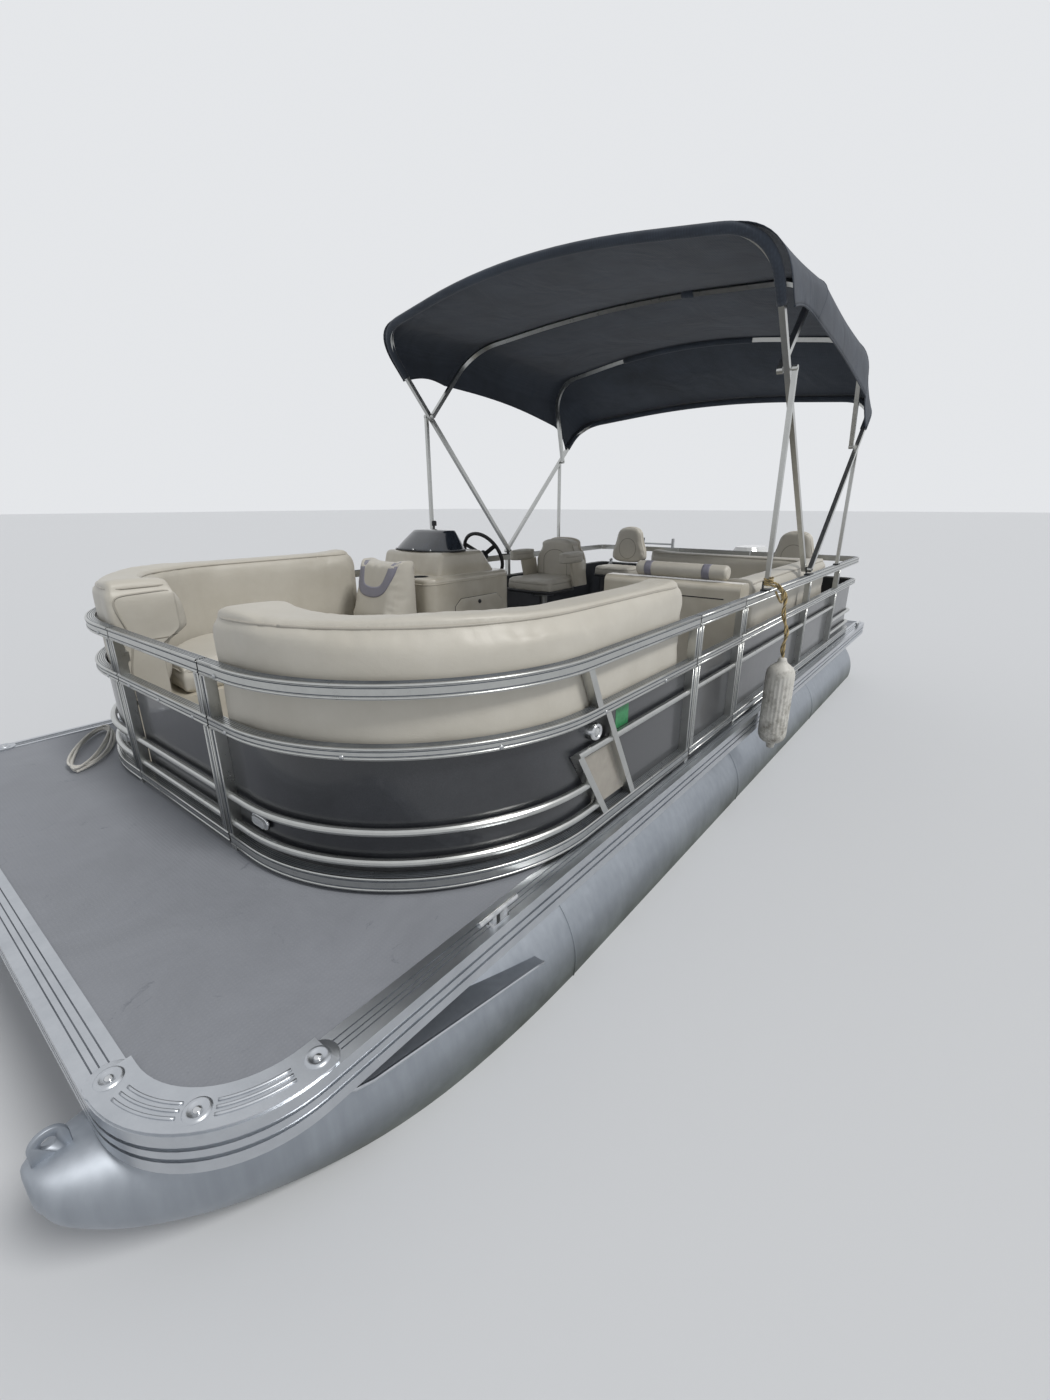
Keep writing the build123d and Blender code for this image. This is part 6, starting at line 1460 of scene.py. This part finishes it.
# %% Console box, pod and column
CONSOLE_CORNER, CUP = 0.070, (0.678, -0.630)
WHEEL_AXIS = Vector((-math.cos(math.radians(25)), 0.0, math.sin(math.radians(25))))


def console_ring(grow, steps):
    """The console's outline seen from above, with round corners."""
    ring, radius = [], CONSOLE_CORNER + grow
    for x, y, start in ((0.670, -0.550, 0), (0.060, -0.550, 90), (0.060, -1.100, 180), (0.670, -1.100, 270)):
        ring += [(x + radius * math.cos(a), y + radius * math.sin(a))
                 for a in (math.radians(start + 90 * k / steps) for k in range(steps + 1))]
    return ring


box = with_bevel("console_box", slab(console_ring(0.0, 10), lying(0, 0, 0.500), 0.625), 0.026, 5, gel_coat)
bored(box, turned([(0.0, 0.0), (0.042, 0.0), (0.042, 0.090), (0.0, 0.090)], (*CUP, 1.050), sides=40))
liner = link("cup_liner", turned([(0.0, 0.0015), (0.038, 0.0015), (0.0395, 0.074), (0.0455, 0.0765),
                                  (0.0475, 0.0752), (0.0420, 0.0735), (0.0415, 0.0), (0.0, 0.0)],
                                 (*CUP, 1.0505), sides=40), black_abs)
pod = with_bevel("console_pod", slab([(0.610, 1.065), (0.555, 1.260), (0.180, 1.260), (0.020, 1.065)],
                                     upright(0.0, -1.110), 0.550), 0.030, 5, gel_coat)
column = link("wheel_column", turned([(0.0, -0.02), (0.046, -0.02), (0.044, 0.014), (0.026, 0.030), (0.019, 0.052),
                                      (0.017, 0.1345), (0.0, 0.1345)],
                                     Vector((-0.115, -0.830, 1.190)) - WHEEL_AXIS * 0.150, WHEEL_AXIS, 28), black_abs)
for piece, slot_name in ((keep_sharp(box, 50), "ivory_moulding"), (keep_sharp(liner, 50), "black_plastic"),
                         (pod, "ivory_moulding"), (column, "black_plastic")):
    settle(piece, "boat", "console")
print("console box", len(box.data.polygons), "faces")

# %% Smoked windscreen
SCREEN_SIDES, SCREEN_BOX = 56, 0.72
builder = bmesh.new()
rings = []
# Rings up the sides, then over the rounded top; a power below 1 makes each ring a soft box
for share, grow in [(k / 8, 1.0) for k in range(9)] + [(1.012, 0.90), (1.030, 0.74), (1.044, 0.50), (1.052, 0.24)]:
    ease = min(share, 1.0) ** 1.15
    half_x, half_y = (0.145 - 0.080 * ease) * grow, (0.265 - 0.095 * ease) * grow
    rings.append([builder.verts.new((0.400 - 0.045 * ease + half_x * math.copysign(abs(c) ** SCREEN_BOX, c),
                                     -0.835 + half_y * math.copysign(abs(s) ** SCREEN_BOX, s),
                                     1.260 + 0.125 * share))
                  for c, s in ((math.cos(a), math.sin(a)) for a in turns(SCREEN_SIDES))])
span(builder, rings)
builder.faces.new(rings[0][::-1])
builder.faces.new(rings[-1]).smooth = True
gasket = [v.co + Vector((0, 0, 0.003)) for v in rings[0]]
settle(link("smoked_windscreen", mesh_of(builder), smoked_acrylic), "boat", "console_cowl")
tube_piece("windscreen_gasket", [gasket + gasket[:1]], 0.0045, soft_pvc, "boat")
screw_heads("windscreen_screws", [((0.548, y, 1.272), (1, 0, 0.3)) for y in (-1.00, -0.835, -0.67)], 0.006, 0.004,
            bright_steel, "boat")
print("windscreen done")

# %% Console door, moulding line and gauges
DOOR_X, DOOR_Z, DOOR_GROW = 0.3175, 0.7975, 1.16
door = [(min(max(DOOR_X + (a - DOOR_X) * DOOR_GROW, 0.095), 0.540),
         min(max(DOOR_Z + (b - DOOR_Z) * DOOR_GROW, 0.615), 0.980))
        for a, b in rounded([(0.090, 0.610), (0.545, 0.610), (0.545, 0.985), (0.090, 0.985)], 5)]
hard_part("console_door", slab(door, upright(0.0, -0.4805), 0.0045), gel_coat, "boat", None, "ivory_moulding", 0.0015)
tube_piece("console_door_rim", [[Vector((a, -0.4795, b)) for a, b in door + door[:1]]], 0.0022, black_abs, "boat",
           6)
latch = turned([(0.0, 0.006), (0.010, 0.006), (0.013, 0.003), (0.014, -0.001), (0.0, -0.001)],
               (DOOR_X, -0.4755, 0.945), (0, 1, 0), 20)
settle(link("console_door_latch", latch, black_abs), "boat")
moulding = [Vector((x, y, 1.088)) for x, y in console_ring(0.0004, 8)]
tube_piece("console_moulding", [moulding + moulding[:1]], 0.0028, gel_coat, "boat", 6)
SLOPE_OUT = Vector((-0.773, 0.0, 0.634))
BEZEL = [(0.0, 0.0014), (0.023, 0.0014), (0.0245, 0.0050), (0.0285, 0.0058), (0.0300, 0.0035), (0.0300, -0.002),
         (0.0, -0.002)]
for number, (y, drop) in enumerate(((-0.660, 0.060), (-0.740, 0.050), (-0.920, 0.050), (-1.000, 0.060)), 1):
    spot = Vector((0.180 - drop * 0.8205, y, 1.260 - drop))
    dial = link(f"gauge_{number}", turned(BEZEL, spot, SLOPE_OUT, 28), black_abs)
    settle(keep_sharp(dial, 40), "boat")
    needle = [spot + SLOPE_OUT * 0.0026, spot + SLOPE_OUT * 0.0026 + Vector((0.009, 0.012, 0.011))]
    tube_piece(f"gauge_{number}_needle", [needle], 0.0009, engine_white, "boat", 5)
print("console fittings done")

# %% Lamps and the blank decal
LAMP_X, LAMP_Z, PANEL_Y, FRONT_PANEL_X = 1.638, 0.872, 1.2128, 2.3930
DOME = [(0.0, 0.0330), (0.008, 0.0320), (0.0135, 0.0290), (0.0150, 0.0250), (0.0150, 0.0), (0.0, 0.0)]
COLLAR = [(0.0160, 0.0), (0.0160, 0.0300), (0.0200, 0.0335), (0.0245, 0.0325), (0.0280, 0.0270), (0.0290, 0.0)]
pill = rounded([(-0.046, 0.630), (0.0, 0.630), (0.046, 0.630), (0.046, 0.670), (0.0, 0.670), (-0.046, 0.670)], 5)
for word, hand in HANDS.items():
    for part, profile, finish, slot_name in (("dome", DOME, lens_glass, "smoked_plastic"),
                                             ("collar", COLLAR, bright_steel, "bright_steel")):
        settle(link(f"{word}_lamp_{part}", turned(profile, (LAMP_X, hand * PANEL_Y, LAMP_Z), (0, hand, 0)), finish),
               "boat", "running_lights")
    hard_part(f"{word}_dock_lamp_frame", slab(pill, facing_ahead(FRONT_PANEL_X, hand * 0.540), 0.010), bright_steel,
              "boat", "running_lights", "bright_steel", 0.003)
    hard_part(f"{word}_dock_lamp_glass",
              slab(scaled(pill, 0.78), facing_ahead(FRONT_PANEL_X + 0.004, hand * 0.540), 0.012), lens_glass, "boat",
              "running_lights", "smoked_plastic", 0.003, 3)
decal = slab([(1.386, 0.822), (1.474, 0.822), (1.474, 0.914), (1.386, 0.914)], upright(0.0, PANEL_Y), 0.0006)
settle(link("green_decal", decal, green_film), "boat")
print("lamps and film done")
